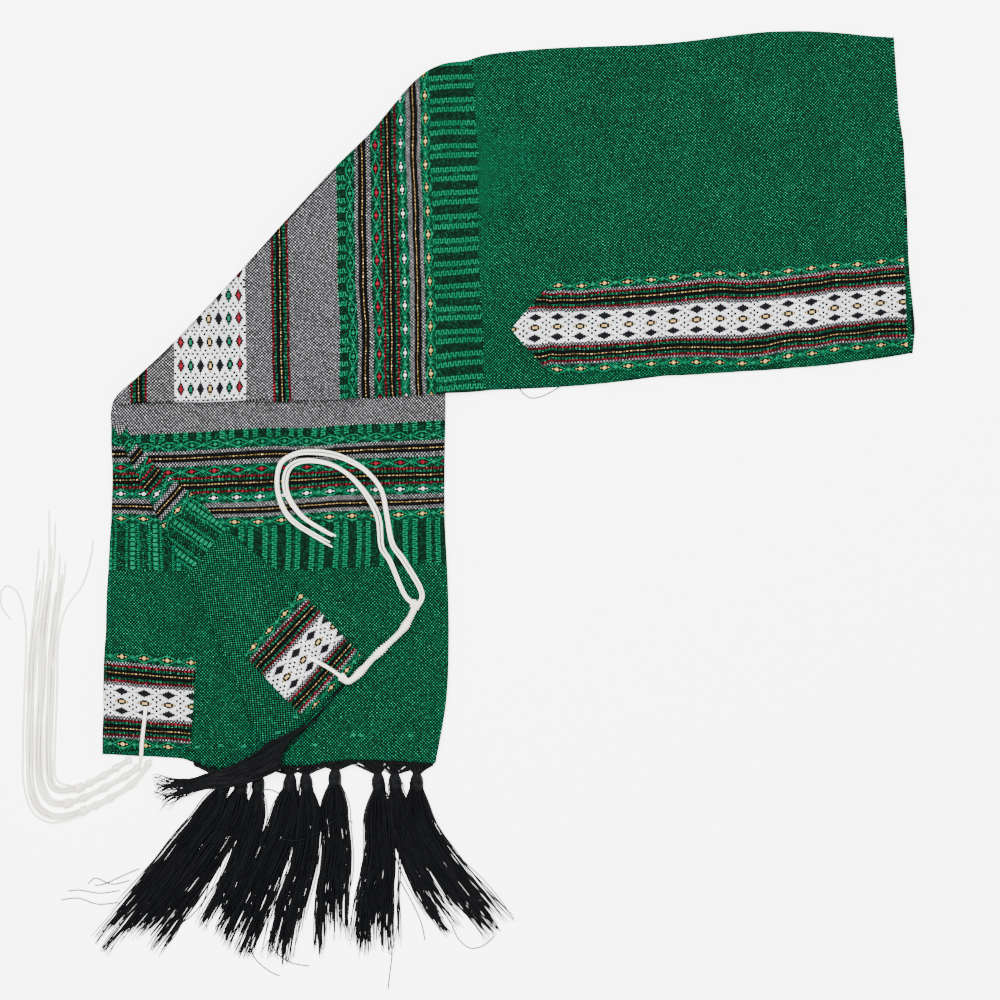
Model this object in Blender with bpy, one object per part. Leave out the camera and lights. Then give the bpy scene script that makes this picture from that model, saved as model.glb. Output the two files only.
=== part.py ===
"""A woven prayer shawl with a neckband, corner patches, corner strings and a tasselled
fringe, folded lengthwise, then crosswise, then turned under on a diagonal, lying flat.

Model units are metres, +Z up. The tables below are in millimetres, worked out from how the
cloth is folded. The origin is the middle of the folded bundle, on the surface under it."""

import math
from collections import namedtuple

import bmesh
import bpy
from mathutils import Vector

MM = 0.001

# Driving dimensions, in millimetres
LAYER = 1.2              # one layer of the cloth
SEAM_GAP = 0.3           # clearance between two pieces that touch
PATCH = 1.0              # the neckband and patch cloth
STACK_LAYERS = 3         # hidden layers of the lower arm under its top leaf
ARM_LAYERS = 4           # layers of the upper arm
SECTION_POINTS = 10      # points across the top of a section
STATION_STEP = 24.0      # spacing of the sections along a cloth

LEAF_BASE = STACK_LAYERS * LAYER + SEAM_GAP
LEAF_TOP = LEAF_BASE + LAYER
ARM_LIFT = LEAF_TOP + SEAM_GAP
ARM_THICK = ARM_LAYERS * LAYER
FOLD_RADIUS = 5.0        # of the thick diagonal fold
FOLD_ENDS = (232.0, 262.0)    # along the arm: its lengthwise fold takes over from the diagonal
STACK_FOLD = (268.0, 280.0)   # along the lower arm: the diagonal takes over from its selvedges
END_FADE = 28.0          # an uneven end line dies out over this much of the cloth
FULL_EDGE = 24.0         # a stretch narrower than this has a finer edge
HEM_SPLIT = 0.545        # across the end: the left hem stops and the right one starts
HEM_THICK = 3.4
FLAP_HEM_THICK = 1.6
FLAP_HEM_LIFT = 0.7      # above the under side of the folded corner
TASSEL_KNOT = 4.5        # radius of a tassel's knotted head
KNOT_LENGTH = 13.0
KNOT_START = 2.6         # its end face stands this far before its seat
KNOT_END_RADIUS = 2.4
KNOT_HEIGHT = 4.5        # its middle above the floor
TIED_SPREAD = 3.5        # half-width of the locks inside it
LOCK_ROOT = 9.0          # the locks start this far inside it
LOCK_COLUMNS = 6
LOCK_STEPS = 6           # sections along a lock
LOCK_WIDTH = 2.3         # a lock of fringe threads at its thickest
LOCK_SIDES = 3
KNOT_SIDES = 8
ROW_HEIGHT = 3.0         # between the two rows of locks
STRING = 1.5             # one corner string
STRING_SIDES = 3
STRING_STEPS = 13        # sections along a string of a bunch
STRAY_STEPS = 24         # sections along a string that runs alone
STRING_PITCH = 1.95      # spacing of strings that lie side by side
CORD_RADIUS = 2.0        # the wound stretch of the corner strings
CORD_SIDES = 7
CORD_STEPS = 19
CORD_FLAT = 0.8          # height of the cord against its width
PLAIN_CORD = 0.72        # the unwound stretch against the wound one
KNOT_RADIUS = 2.9        # a double knot on the cord
END_KNOT = 4.2           # the last knot, out of which the strings run loose
END_KNOT_REACH = 2.4

Span = namedtuple("Span", "ax ay bx by lift")
Crease = namedtuple("Crease", "x y angle half_length half_width height")
Dip = namedtuple("Dip", "across push")
Depth = namedtuple("Depth", "share depth")
Tassel = namedtuple("Tassel", "name seat points spread tip_spread share")
Place = namedtuple("Place", "x y over")

# The upper arm, from the diagonal's tip to the crosswise fold: the neck edge (a) and the
# lengthwise fold (b), and the height at which that stretch lies. The first HIGH_ROWS rows
# lie on the lower arm.
HIGH_ROWS = 9
ARM_SPANS = [
    Span(-264.0, 81.5, -264.3, 88.0, ARM_LIFT),
    Span(-243.5, 83.3, -244.4, 107.4, ARM_LIFT),
    Span(-216.0, 83.6, -217.7, 133.3, ARM_LIFT),
    Span(-165.0, 84.0, -168.6, 186.2, ARM_LIFT),
    Span(-128.0, 84.2, -132.8, 226.0, ARM_LIFT),
    Span(-88.0, 86.0, -94.3, 267.4, ARM_LIFT),
    Span(-58.0, 87.5, -66.0, 295.5, ARM_LIFT),
    Span(-24.0, 89.4, -32.6, 334.8, ARM_LIFT),
    Span(-3.5, 90.7, -12.5, 347.2, ARM_LIFT),
    Span(17.0, 91.5, 7.0, 351.3, 0.0),
    Span(43.0, 93.0, 33.5, 357.2, 0.0),
    Span(126.0, 99.2, 115.4, 361.9, 0.0),
    Span(187.0, 105.2, 175.5, 365.8, 0.0),
    Span(275.0, 111.3, 261.3, 373.6, 0.0),
    Span(352.5, 120.9, 337.7, 368.9, 0.0),
]

# The diagonal fold, from its lower end upwards, with the lengthwise fold facing it
DIAGONAL_SPANS = [
    Span(-268.0, 84.0, -8.8, 94.0, 0.0),
    Span(-243.4, 108.4, -9.4, 118.5, 0.0),
    Span(-216.8, 134.2, -10.5, 143.8, 0.0),
    Span(-167.7, 187.2, -12.5, 195.0, 0.0),
    Span(-132.6, 226.2, -14.2, 232.0, 0.0),
    Span(-94.4, 267.5, -17.3, 271.5, 0.0),
    Span(-66.0, 295.5, -19.3, 298.0, 0.0),
    Span(-36.0, 331.0, -22.0, 332.5, 0.0),
]

# The lower arm, from its fringed end to the diagonal: both selvedges (a), the fold (b)
STACK_SPANS = [
    Span(-276.5, -190.3, -16.5, -197.0, 0.0),
    Span(-276.0, -150.0, -8.3, -150.0, 0.0),
    Span(-275.3, -111.5, -6.2, -106.0, 0.0),
    Span(-273.0, -67.1, -6.8, -60.0, 0.0),
    Span(-270.7, -17.2, -9.2, -9.0, 0.0),
    Span(-268.8, 20.0, -9.4, 30.0, 0.0),
    Span(-269.6, 60.0, -8.8, 70.0, 0.0),
] + DIAGONAL_SPANS

# The top leaf of the lower arm, whose near corner is folded over (a is that fold)
LEAF_SPANS = [
    Span(-141.0, -196.5, -16.5, -197.0, LEAF_BASE),
    Span(-160.5, -155.0, -8.3, -150.0, LEAF_BASE),
    Span(-181.5, -111.5, -6.2, -106.0, LEAF_BASE),
    Span(-202.0, -67.1, -6.8, -60.0, LEAF_BASE),
    Span(-226.5, -17.2, -9.2, -9.0, LEAF_BASE),
    Span(-245.5, 20.0, -9.4, 30.0, LEAF_BASE),
    Span(-262.0, 58.0, -8.8, 70.0, LEAF_BASE),
] + [row._replace(lift=LEAF_BASE) for row in DIAGONAL_SPANS]

# The folded corner: its fold (a) and its selvedge (b), from the fold's top down
FLAP_BASE = LEAF_TOP + SEAM_GAP
FLAP_SPANS = [
    Span(-267.5, 67.0, -262.5, 71.0, FLAP_BASE),
    Span(-247.3, 25.0, -235.6, 35.9, FLAP_BASE),
    Span(-226.2, -17.9, -201.2, 8.6, FLAP_BASE),
    Span(-210.6, -49.1, -178.6, -15.6, FLAP_BASE),
    Span(-179.4, -115.4, -125.6, -59.3, FLAP_BASE),
    Span(-149.0, -192.7, -72.5, -113.1, FLAP_BASE),
]

# The neckband: its lower edge (a) and its upper edge (b), from its point to the fold
BAND_SPANS = [
    Span(43.0, 138.8, 43.0, 142.0, 0.0),
    Span(73.3, 106.1, 74.1, 176.3, 0.0),
    Span(145.1, 112.3, 145.1, 181.7, 0.0),
    Span(220.0, 116.2, 220.0, 187.2, 0.0),
    Span(294.8, 126.4, 294.8, 191.9, 0.0),
    Span(351.5, 129.3, 347.5, 195.6, 0.0),
]

PATCH_LEFT_SPANS = [
    Span(-275.4, -188.4, -207.5, -185.0, 0.0),
    Span(-275.0, -150.0, -205.3, -150.0, 0.0),
    Span(-273.8, -110.4, -202.8, -114.5, 0.0),
]

PATCH_FLAP_SPANS = [
    Span(-165.5, -112.0, -123.0, -61.8, 0.0),
    Span(-143.8, -135.8, -98.2, -87.6, 0.0),
    Span(-121.5, -158.9, -74.2, -113.2, 0.0),
]

# Soft creases of the cloth, shared by every layer that lies on the same stretch
LOWER_CREASES = [
    Crease(-60.0, -20.0, 78.0, 95.0, 22.0, 0.45),
    Crease(-120.0, 25.0, 12.0, 80.0, 24.0, 0.40),
    Crease(-235.0, -75.0, 82.0, 80.0, 20.0, 0.35),
    Crease(-45.0, -150.0, 20.0, 60.0, 22.0, 0.40),
    Crease(-90.0, 190.0, 50.0, 70.0, 26.0, 0.35),
]
ARM_CREASES = [
    Crease(60.0, 250.0, 70.0, 90.0, 24.0, 0.50),
    Crease(175.0, 290.0, 28.0, 100.0, 26.0, 0.55),
    Crease(290.0, 260.0, -24.0, 70.0, 22.0, 0.60),
    Crease(-60.0, 180.0, 62.0, 90.0, 26.0, 0.50),
    Crease(-150.0, 120.0, 24.0, 60.0, 22.0, 0.40),
    Crease(240.0, 150.0, 6.0, 90.0, 24.0, 0.45),
]

# How far the crosswise fold and the fringed end leave a straight line
FOLD_BOW = [
    Dip(0.0, 0.0), Dip(0.085, 2.8), Dip(0.28, 1.1), Dip(0.50, 2.3),
    Dip(0.67, 2.6), Dip(0.72, 0.3), Dip(1.0, 0.0),
]
HEM_BOW = [
    Dip(0.0, 0.0), Dip(0.14, 0.8), Dip(0.235, 1.5), Dip(0.285, 5.0), Dip(0.335, 10.5),
    Dip(0.42, 9.0), Dip(0.58, 4.5), Dip(0.73, -2.5), Dip(0.82, -2.0), Dip(1.0, 0.0),
]
LEAF_BOW = [
    Dip(0.0, 2.5), Dip(0.16, 2.0), Dip(0.45, -2.3), Dip(0.66, -2.0), Dip(1.0, 0.0),
]
NO_BOW = [Dip(0.0, 0.0), Dip(1.0, 0.0)]

# How far the black hem reaches past the cloth, from the left to the right of its end
HEM_DEPTHS = [
    Depth(0.273, 1.6), Depth(0.318, 3.6), Depth(0.364, 4.6), Depth(0.409, 5.0),
    Depth(0.455, 4.8), Depth(0.500, 4.6), Depth(0.545, 4.8), Depth(0.591, 6.6),
    Depth(0.636, 7.4), Depth(0.682, 7.2), Depth(0.727, 5.2), Depth(0.773, 6.2),
    Depth(0.818, 10.4), Depth(0.864, 9.4), Depth(0.909, 8.4), Depth(0.955, 8.0),
    Depth(0.985, 6.0),
]
# The hem of the folded corner: at the cloth (a) and at the fringe (b)
FLAP_HEM = [
    Span(-74.2, -115.4, -72.8, -116.8, 0.0),
    Span(-95.6, -137.8, -93.0, -142.0, 0.0),
    Span(-111.8, -154.7, -106.5, -166.0, 0.0),
    Span(-130.2, -173.8, -124.0, -183.5, 0.0),
    Span(-148.0, -192.2, -143.0, -198.0, 0.0),
]

# Each tassel's middle line from its knot to its tips, as (x, y, height of the middle).
# A tassel with a seat hangs from the hem at that share of the way across the cloth's end.
TASSELS = [
    Tassel("flap", None, [(-127.0, -178.5, 12.3), (-148.0, -193.5, 13.2),
                          (-174.0, -206.0, 13.4), (-195.0, -213.5, 12.0),
                          (-214.0, -217.5, 6.4), (-235.0, -220.0, 3.4)], 8.5, 14.0, 1.0),
    Tassel("left_1", 0.375, [(-193.0, -236.0, 4.2), (-215.0, -265.5, 3.6),
                             (-240.0, -299.0, 3.4), (-274.0, -339.0, 3.4)], 7.6, 10.0, 1.0),
    Tassel("left_2", 0.423, [(-175.5, -240.0, 4.2), (-194.5, -272.0, 3.6),
                             (-220.5, -306.5, 3.4), (-247.0, -338.5, 3.4)], 7.6, 10.0, 1.0),
    Tassel("left_3", 0.472, [(-158.0, -239.0, 4.2), (-168.0, -270.0, 3.6),
                             (-180.5, -300.5, 3.4), (-195.5, -328.0, 3.4)], 7.2, 8.0, 1.0),
    Tassel("middle_1", 0.566, [(-132.0, -237.0, 4.2), (-143.0, -268.0, 3.6),
                               (-158.5, -304.0, 3.4), (-177.0, -344.5, 3.4)], 7.6, 12.0, 1.0),
    Tassel("middle_2", 0.612, [(-115.4, -243.0, 4.2), (-120.0, -277.0, 3.6),
                               (-131.0, -312.0, 3.4), (-139.5, -351.5, 3.4)], 7.6, 11.5, 1.0),
    Tassel("middle_3", 0.700, [(-96.7, -234.0, 4.2), (-94.6, -265.0, 3.6),
                               (-99.0, -300.0, 3.4), (-100.5, -344.5, 3.4)], 9.0, 11.5, 1.0),
    Tassel("right_1", 0.828, [(-60.5, -241.0, 4.2), (-59.5, -272.0, 3.6),
                              (-63.5, -306.0, 3.4), (-65.5, -343.0, 3.4),
                              (-57.0, -371.0, 3.4)], 7.8, 12.5, 0.80),
    Tassel("right_2", 0.878, [(-44.5, -239.0, 4.2), (-35.0, -265.0, 3.6),
                              (-19.5, -296.0, 3.4), (3.5, -327.0, 3.4)], 7.0, 9.6, 1.0),
    Tassel("right_3", 0.944, [(-29.0, -236.0, 4.2), (-16.0, -263.5, 3.6),
                              (6.0, -294.5, 3.4), (34.0, -327.0, 3.4)], 7.0, 10.4, 1.0),
]

# What the corner strings lie on, as the height of its top face
ON_FLOOR = 0.0
ON_LEAF = LEAF_TOP
ON_PATCH_LEFT = LEAF_BASE + PATCH
ON_PATCH_FLAP = FLAP_BASE + LAYER + SEAM_GAP + PATCH

# The strings of the folded corner: out of the patch's hole, wound and knotted, then two
# groups of four that meet and lie in one loop over the leaf.
FLAP_CORD = [
    Place(-114.7, -114.7, ON_PATCH_FLAP), Place(-105.5, -119.2, ON_PATCH_FLAP),
    Place(-97.0, -124.2, ON_PATCH_FLAP + 0.2), Place(-90.0, -129.0, ON_PATCH_FLAP + 0.6),
    Place(-83.6, -133.0, ON_LEAF + 1.4),
    Place(-73.3, -124.0, ON_LEAF), Place(-66.3, -116.2, ON_LEAF),
    Place(-53.0, -103.7, ON_LEAF), Place(-42.1, -92.8, ON_LEAF),
    Place(-35.1, -81.1, ON_LEAF), Place(-32.0, -73.3, ON_LEAF),
]
FLAP_STRINGS_INNER = [
    Place(-33.7, -72.6, ON_LEAF), Place(-41.0, -65.0, ON_LEAF),
    Place(-51.5, -39.8, ON_LEAF), Place(-58.5, -28.1, ON_LEAF),
    Place(-60.8, -7.0, ON_LEAF), Place(-69.4, 10.1, ON_LEAF),
    Place(-81.9, 25.0, ON_LEAF), Place(-95.2, 34.3, ON_LEAF),
    Place(-108.4, 38.2, ON_LEAF), Place(-120.9, 38.2, ON_LEAF),
    Place(-130.3, 32.8, ON_LEAF), Place(-133.4, 21.8, ON_LEAF),
    Place(-130.3, 9.4, ON_LEAF), Place(-120.9, -3.9, ON_LEAF),
    Place(-108.4, -13.3, ON_LEAF), Place(-94.4, -21.1, ON_LEAF),
]
FLAP_STRINGS_OUTER = [
    Place(-29.4, -73.4, ON_LEAF), Place(-27.6, -63.0, ON_LEAF),
    Place(-41.3, -39.0, ON_LEAF), Place(-50.0, -25.7, ON_LEAF),
    Place(-54.0, -4.0, ON_LEAF), Place(-58.5, 15.6, ON_LEAF),
    Place(-70.0, 29.5, ON_LEAF), Place(-83.5, 38.0, ON_LEAF),
    Place(-95.9, 42.9, ON_LEAF), Place(-110.0, 45.2, ON_LEAF),
    Place(-125.0, 44.2, ON_LEAF), Place(-137.0, 36.8, ON_LEAF),
    Place(-139.8, 21.8, ON_LEAF), Place(-136.3, 5.5, ON_LEAF),
    Place(-125.5, -9.6, ON_LEAF), Place(-96.0, -27.6, ON_LEAF),
]
LEFT_CORDS = {
    "left_1": [
        Place(-241.8, -152.9, ON_PATCH_LEFT), Place(-243.0, -165.0, ON_PATCH_LEFT),
        Place(-244.8, -181.0, ON_PATCH_LEFT), Place(-245.4, -190.0, ON_PATCH_LEFT - 0.4),
        Place(-248.0, -199.4, ON_FLOOR + 1.0), Place(-258.0, -207.0, ON_FLOOR),
        Place(-274.0, -216.0, ON_FLOOR), Place(-290.0, -223.9, ON_FLOOR),
        Place(-303.5, -228.5, ON_FLOOR),
    ],
    "left_2": [
        Place(-253.5, -193.7, ON_FLOOR), Place(-266.8, -201.6, ON_FLOOR),
        Place(-280.8, -210.0, ON_FLOOR), Place(-294.5, -216.6, ON_FLOOR),
    ],
    "left_3": [
        Place(-238.0, -193.9, ON_FLOOR), Place(-250.8, -211.6, ON_FLOOR),
        Place(-268.3, -223.4, ON_FLOOR), Place(-280.5, -229.8, ON_FLOOR),
        Place(-291.0, -234.4, ON_FLOOR),
    ],
}
LEFT_STRINGS = {
    "left_1": [
        Place(-304.6, -228.9, ON_FLOOR), Place(-317.0, -227.0, ON_FLOOR),
        Place(-324.0, -214.0, ON_FLOOR), Place(-325.5, -194.0, ON_FLOOR),
        Place(-325.3, -170.0, ON_FLOOR), Place(-324.5, -148.0, ON_FLOOR),
        Place(-323.7, -128.7, ON_FLOOR), Place(-322.9, -105.3, ON_FLOOR),
        Place(-321.0, -82.0, ON_FLOOR), Place(-318.2, -58.5, ON_FLOOR),
        Place(-316.0, -35.1, ON_FLOOR), Place(-315.5, 0.0, ON_FLOOR),
    ],
    "left_2": [
        Place(-295.4, -217.0, ON_FLOOR), Place(-307.5, -218.6, ON_FLOOR),
        Place(-314.6, -215.4, ON_FLOOR),
        Place(-317.5, -207.0, ON_FLOOR), Place(-318.0, -191.0, ON_FLOOR),
        Place(-317.8, -168.0, ON_FLOOR), Place(-317.2, -148.2, ON_FLOOR),
        Place(-316.3, -128.7, ON_FLOOR), Place(-315.5, -109.2, ON_FLOOR),
        Place(-313.6, -89.7, ON_FLOOR), Place(-310.9, -70.2, ON_FLOOR),
        Place(-308.6, -52.0, ON_FLOOR), Place(-307.5, -34.0, ON_FLOOR),
    ],
    "left_3": [
        Place(-292.0, -234.8, ON_FLOOR), Place(-303.0, -238.2, ON_FLOOR),
        Place(-316.5, -238.0, ON_FLOOR),
        Place(-327.5, -229.5, ON_FLOOR), Place(-332.5, -212.0, ON_FLOOR),
        Place(-333.3, -190.0, ON_FLOOR), Place(-332.9, -168.0, ON_FLOOR),
        Place(-332.2, -148.0, ON_FLOOR), Place(-331.4, -126.0, ON_FLOOR),
        Place(-330.0, -104.0, ON_FLOOR), Place(-328.0, -80.0, ON_FLOOR),
        Place(-325.5, -58.0, ON_FLOOR), Place(-323.2, -30.0, ON_FLOOR),
    ],
}


# Two strings that leave their bunches: one loops out, one runs off alone
STRAY_STRINGS = {
    "left_2": [
        Place(-295.4, -215.1, ON_FLOOR + 3.9), Place(-304.0, -214.0, ON_FLOOR + 3.9),
        Place(-310.4, -211.0, ON_FLOOR + 2.6), Place(-313.0, -203.0, ON_FLOOR + 1.0),
        Place(-313.3, -190.0, ON_FLOOR), Place(-313.1, -168.0, ON_FLOOR),
        Place(-312.5, -148.0, ON_FLOOR), Place(-311.7, -128.0, ON_FLOOR),
        Place(-310.9, -109.0, ON_FLOOR), Place(-308.5, -90.0, ON_FLOOR),
        Place(-303.0, -74.0, ON_FLOOR), Place(-292.5, -58.5, ON_FLOOR),
        Place(-286.3, -39.0, ON_FLOOR), Place(-283.9, -23.4, ON_FLOOR),
    ],
    "left_3": [
        Place(-292.0, -236.8, ON_FLOOR + 3.9), Place(-303.0, -241.6, ON_FLOOR + 3.9),
        Place(-318.0, -243.5, ON_FLOOR + 2.5), Place(-331.5, -234.5, ON_FLOOR),
        Place(-337.4, -213.0, ON_FLOOR), Place(-338.0, -190.0, ON_FLOOR),
        Place(-337.5, -148.0, ON_FLOOR), Place(-336.5, -112.0, ON_FLOOR),
        Place(-337.0, -86.0, ON_FLOOR), Place(-341.5, -66.0, ON_FLOOR),
        Place(-350.0, -58.5, ON_FLOOR), Place(-355.8, -64.0, ON_FLOOR),
        Place(-354.5, -76.0, ON_FLOOR), Place(-347.0, -85.0, ON_FLOOR),
    ],
}

CLOTH_GREEN = (0.0, 0.24, 0.10)
PATCH_WHITE = (0.62, 0.62, 0.60)
THREAD_BLACK = (0.008, 0.008, 0.010)
STRING_WHITE = (0.86, 0.83, 0.74)


def clear_scene():
    """Removes whatever the file opened with."""
    for thing in list(bpy.data.objects):
        bpy.data.objects.remove(thing)


def make_material(name, colour, roughness):
    """A plain dyed-cloth finish."""
    material = bpy.data.materials.new(name)
    material.use_nodes = True
    shader = material.node_tree.nodes["Principled BSDF"]
    shader.inputs["Base Color"].default_value = (*colour, 1.0)
    shader.inputs["Roughness"].default_value = roughness
    shader.inputs["Metallic"].default_value = 0.0
    return material


def crease_height(creases, x, y):
    """Height of the soft creases above the flat cloth at a point."""
    total = 0.0
    for crease in creases:
        turn = math.radians(crease.angle)
        along = (x - crease.x) * math.cos(turn) + (y - crease.y) * math.sin(turn)
        aside = (y - crease.y) * math.cos(turn) - (x - crease.x) * math.sin(turn)
        spread = (along / crease.half_length) ** 2 + (aside / crease.half_width) ** 2
        total += crease.height * math.exp(-spread)
    return total


def lower_relief(x, y):
    """Creases of the layers of the lower arm."""
    return crease_height(LOWER_CREASES, x, y)


def arm_relief(x, y):
    """Creases of the upper arm, over those of what it lies on."""
    return crease_height(ARM_CREASES, x, y)


def catmull(p0, p1, p2, p3, t):
    """A point between p1 and p2 on a smooth curve through all four."""
    return 0.5 * (
        2.0 * p1
        + (p2 - p0) * t
        + (2.0 * p0 - 5.0 * p1 + 4.0 * p2 - p3) * t * t
        + (3.0 * p1 - p0 - 3.0 * p2 + p3) * t ** 3
    )


def span_at(spans, position):
    """The span at a fractional row number: smooth edges, straight change of height."""
    last = len(spans) - 1
    row = min(int(position), last - 1)
    t = position - row
    near = [spans[max(0, min(last, row + k))] for k in (-1, 0, 1, 2)]
    edges = [catmull(*[getattr(s, key) for s in near], t) for key in ("ax", "ay", "bx", "by")]
    lift = near[1].lift + (near[2].lift - near[1].lift) * t
    return Span(*edges, lift)


def station_positions(spans):
    """Fractional row numbers, with a section about every STATION_STEP."""
    positions = []
    for row in range(len(spans) - 1):
        here = spans[row]
        there = spans[row + 1]
        run_a = math.hypot(there.ax - here.ax, there.ay - here.ay)
        run_b = math.hypot(there.bx - here.bx, there.by - here.by)
        count = max(1, math.ceil(max(run_a, run_b) / STATION_STEP))
        positions += [row + i / count for i in range(count)]
    return positions + [len(spans) - 1.0]


def bow_at(table, across):
    """How far the end line is pushed out at a share of the way across."""
    for low, high in zip(table, table[1:]):
        if across <= high.across:
            t = (across - low.across) / (high.across - low.across)
            ease = t * t * (3.0 - 2.0 * t)
            return low.push + (high.push - low.push) * ease
    return table[-1].push


def lobed_edge(layers, depth, slip):
    """Edge profile of stacked layers: each bulges and slips a little by itself."""
    def profile(place):
        points = [(depth, 0.0)]
        for layer in range(layers):
            shift = slip * math.sin(place * 0.031 * (1.0 + 0.37 * layer) + 2.1 * layer)
            points.append((slip + shift, (layer + 0.5) / layers))
            points.append((depth + slip, (layer + 1.0) / layers))
        return points
    return profile


def rounded_edge(points, radius, upper):
    """Edge profile of one half of a thick fold: the upper or the lower quarter."""
    def profile(_place):
        result = []
        for i in range(points):
            height = i / (points - 1)
            rise = height if upper else 1.0 - height
            result.append((radius * (1.0 - math.sqrt(max(0.0, 1.0 - rise * rise * 0.92))), height))
        return result
    return profile


def mixed_edge(first, second, start, end):
    """Edge profile that changes from the first to the second along the cloth."""
    def profile(place):
        share = min(1.0, max(0.0, (place - start) / (end - start)))
        pairs = zip(first(place), second(place))
        return [
            (a[0] + (b[0] - a[0]) * share, a[1] + (b[1] - a[1]) * share)
            for a, b in pairs
        ]
    return profile


def onward(span, travel):
    """The level direction square to a span, on the side that the cloth runs towards."""
    square = Vector((span.by - span.ay, span.ax - span.bx, 0.0)).normalized()
    return square if square.dot(travel) > 0.0 else -square


def cloth_section(span, place, thick, edge_a, edge_b, across, ground, relief, bow, push):
    """One closed ring round the cloth: under side, edge b, top side, edge a."""
    start = Vector((span.ax, span.ay, 0.0))
    reach = Vector((span.bx, span.by, 0.0)) - start
    width = reach.length
    shrink = min(1.0, width / FULL_EDGE)

    def point(s, inset, height):
        spot = start + reach * (s + inset / width if s < 0.5 else s - inset / width)
        spot += push * bow_at(bow, s)
        floor = span.lift + ground(spot.x, spot.y)
        top = relief(spot.x, spot.y)
        return Vector((spot.x, spot.y, floor + height * (thick + top)))

    ring = []
    shares = [(i + 1) / (across + 1) for i in range(across)]
    for share in shares:
        ring.append(point(share, 0.0, 0.0))
    for inset, height in edge_b(place):
        ring.append(point(1.0, inset * shrink, height))
    for share in reversed(shares):
        ring.append(point(share, 0.0, 1.0))
    for inset, height in reversed(edge_a(place)):
        ring.append(point(0.0, inset * shrink, height))
    return ring


def flat_ground(_x, _y):
    """What lies straight on the floor."""
    return 0.0


def no_relief(_x, _y):
    """A layer that keeps its thickness."""
    return 0.0


def close_end(mesh, loop, across, edge_points):
    """Fills an end ring: four-sided faces from under side to top, then both edges."""
    if not across:
        mesh.faces.new(loop)
        return
    under = loop[:across]
    edge_b = loop[across:across + edge_points]
    top = loop[across + edge_points:2 * across + edge_points][::-1]
    edge_a = loop[2 * across + edge_points:]
    for i in range(across - 1):
        mesh.faces.new((under[i], under[i + 1], top[i + 1], top[i]))
    mesh.faces.new([under[-1]] + edge_b + [top[-1]])
    mesh.faces.new([top[0]] + edge_a + [under[0]])


def skin(name, rings, material, across=0, edge_points=0):
    """Joins closed rings of equal length into one body and fills both ends."""
    mesh = bmesh.new()
    loops = [[mesh.verts.new(p * MM) for p in ring] for ring in rings]
    count = len(loops[0])
    for low, high in zip(loops, loops[1:]):
        for i in range(count):
            j = (i + 1) % count
            mesh.faces.new((low[i], low[j], high[j], high[i]))
    close_end(mesh, loops[0], across, edge_points)
    close_end(mesh, loops[-1], across, edge_points)
    bmesh.ops.recalc_face_normals(mesh, faces=mesh.faces)
    return keep(name, mesh, material)


def keep(name, mesh, material):
    """Puts a finished mesh into the scene under its own name."""
    data = bpy.data.meshes.new(name)
    mesh.to_mesh(data)
    mesh.free()
    data.materials.append(material)
    thing = bpy.data.objects.new(name, data)
    bpy.context.scene.collection.objects.link(thing)
    return thing


def cloth(name, spans, thick, edge_a, edge_b, across, material,
          ground=flat_ground, relief=no_relief, first_bow=NO_BOW, last_bow=NO_BOW, nose=()):
    """A stretch of cloth, or a stack of layers, skinned along its table of spans."""
    rings = []
    positions = station_positions(spans)
    ends = [spans[0], spans[-1]]
    travel = Vector((ends[1].ax + ends[1].bx - ends[0].ax - ends[0].bx,
                     ends[1].ay + ends[1].by - ends[0].ay - ends[0].by, 0.0))
    for position in positions:
        span = span_at(spans, position)
        from_first = math.hypot(span.ax - ends[0].ax, span.ay - ends[0].ay)
        from_last = math.hypot(span.ax - ends[1].ax, span.ay - ends[1].ay)
        near_first = from_first < from_last
        bow = first_bow if near_first else last_bow
        share = math.exp(-(min(from_first, from_last) / END_FADE) ** 2)
        push = onward(span, travel) * (-share if near_first else share)
        rings.append(cloth_section(span, from_first, thick, edge_a, edge_b, across,
                                   ground, relief, bow, push))
    last = rings[-1]
    middle = sum(p.z for p in last) / len(last)
    ahead = onward(ends[1], travel)
    for reach, squeeze in nose:
        rings.append([
            Vector((p.x, p.y, middle + (p.z - middle) * squeeze)) + ahead * reach for p in last
        ])
    return skin(name, rings, material, across, len(edge_b(0.0)))


def arm_lift_at(x):
    """Height at which the upper arm lies, at a place along its middle."""
    high = ARM_SPANS[HIGH_ROWS - 1]
    low = ARM_SPANS[HIGH_ROWS]
    start = (high.ax + high.bx) / 2
    end = (low.ax + low.bx) / 2
    return ARM_LIFT * min(1.0, max(0.0, (end - x) / (end - start)))


def under_arm(x, y):
    """The creases of the lower arm, as far as the upper arm lies on it."""
    return lower_relief(x, y) * arm_lift_at(x) / ARM_LIFT


def on_arm(x, y):
    """The top face of the upper arm, beyond the stretch over the lower arm."""
    return ARM_THICK + arm_relief(x, y) + under_arm(x, y)


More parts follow.
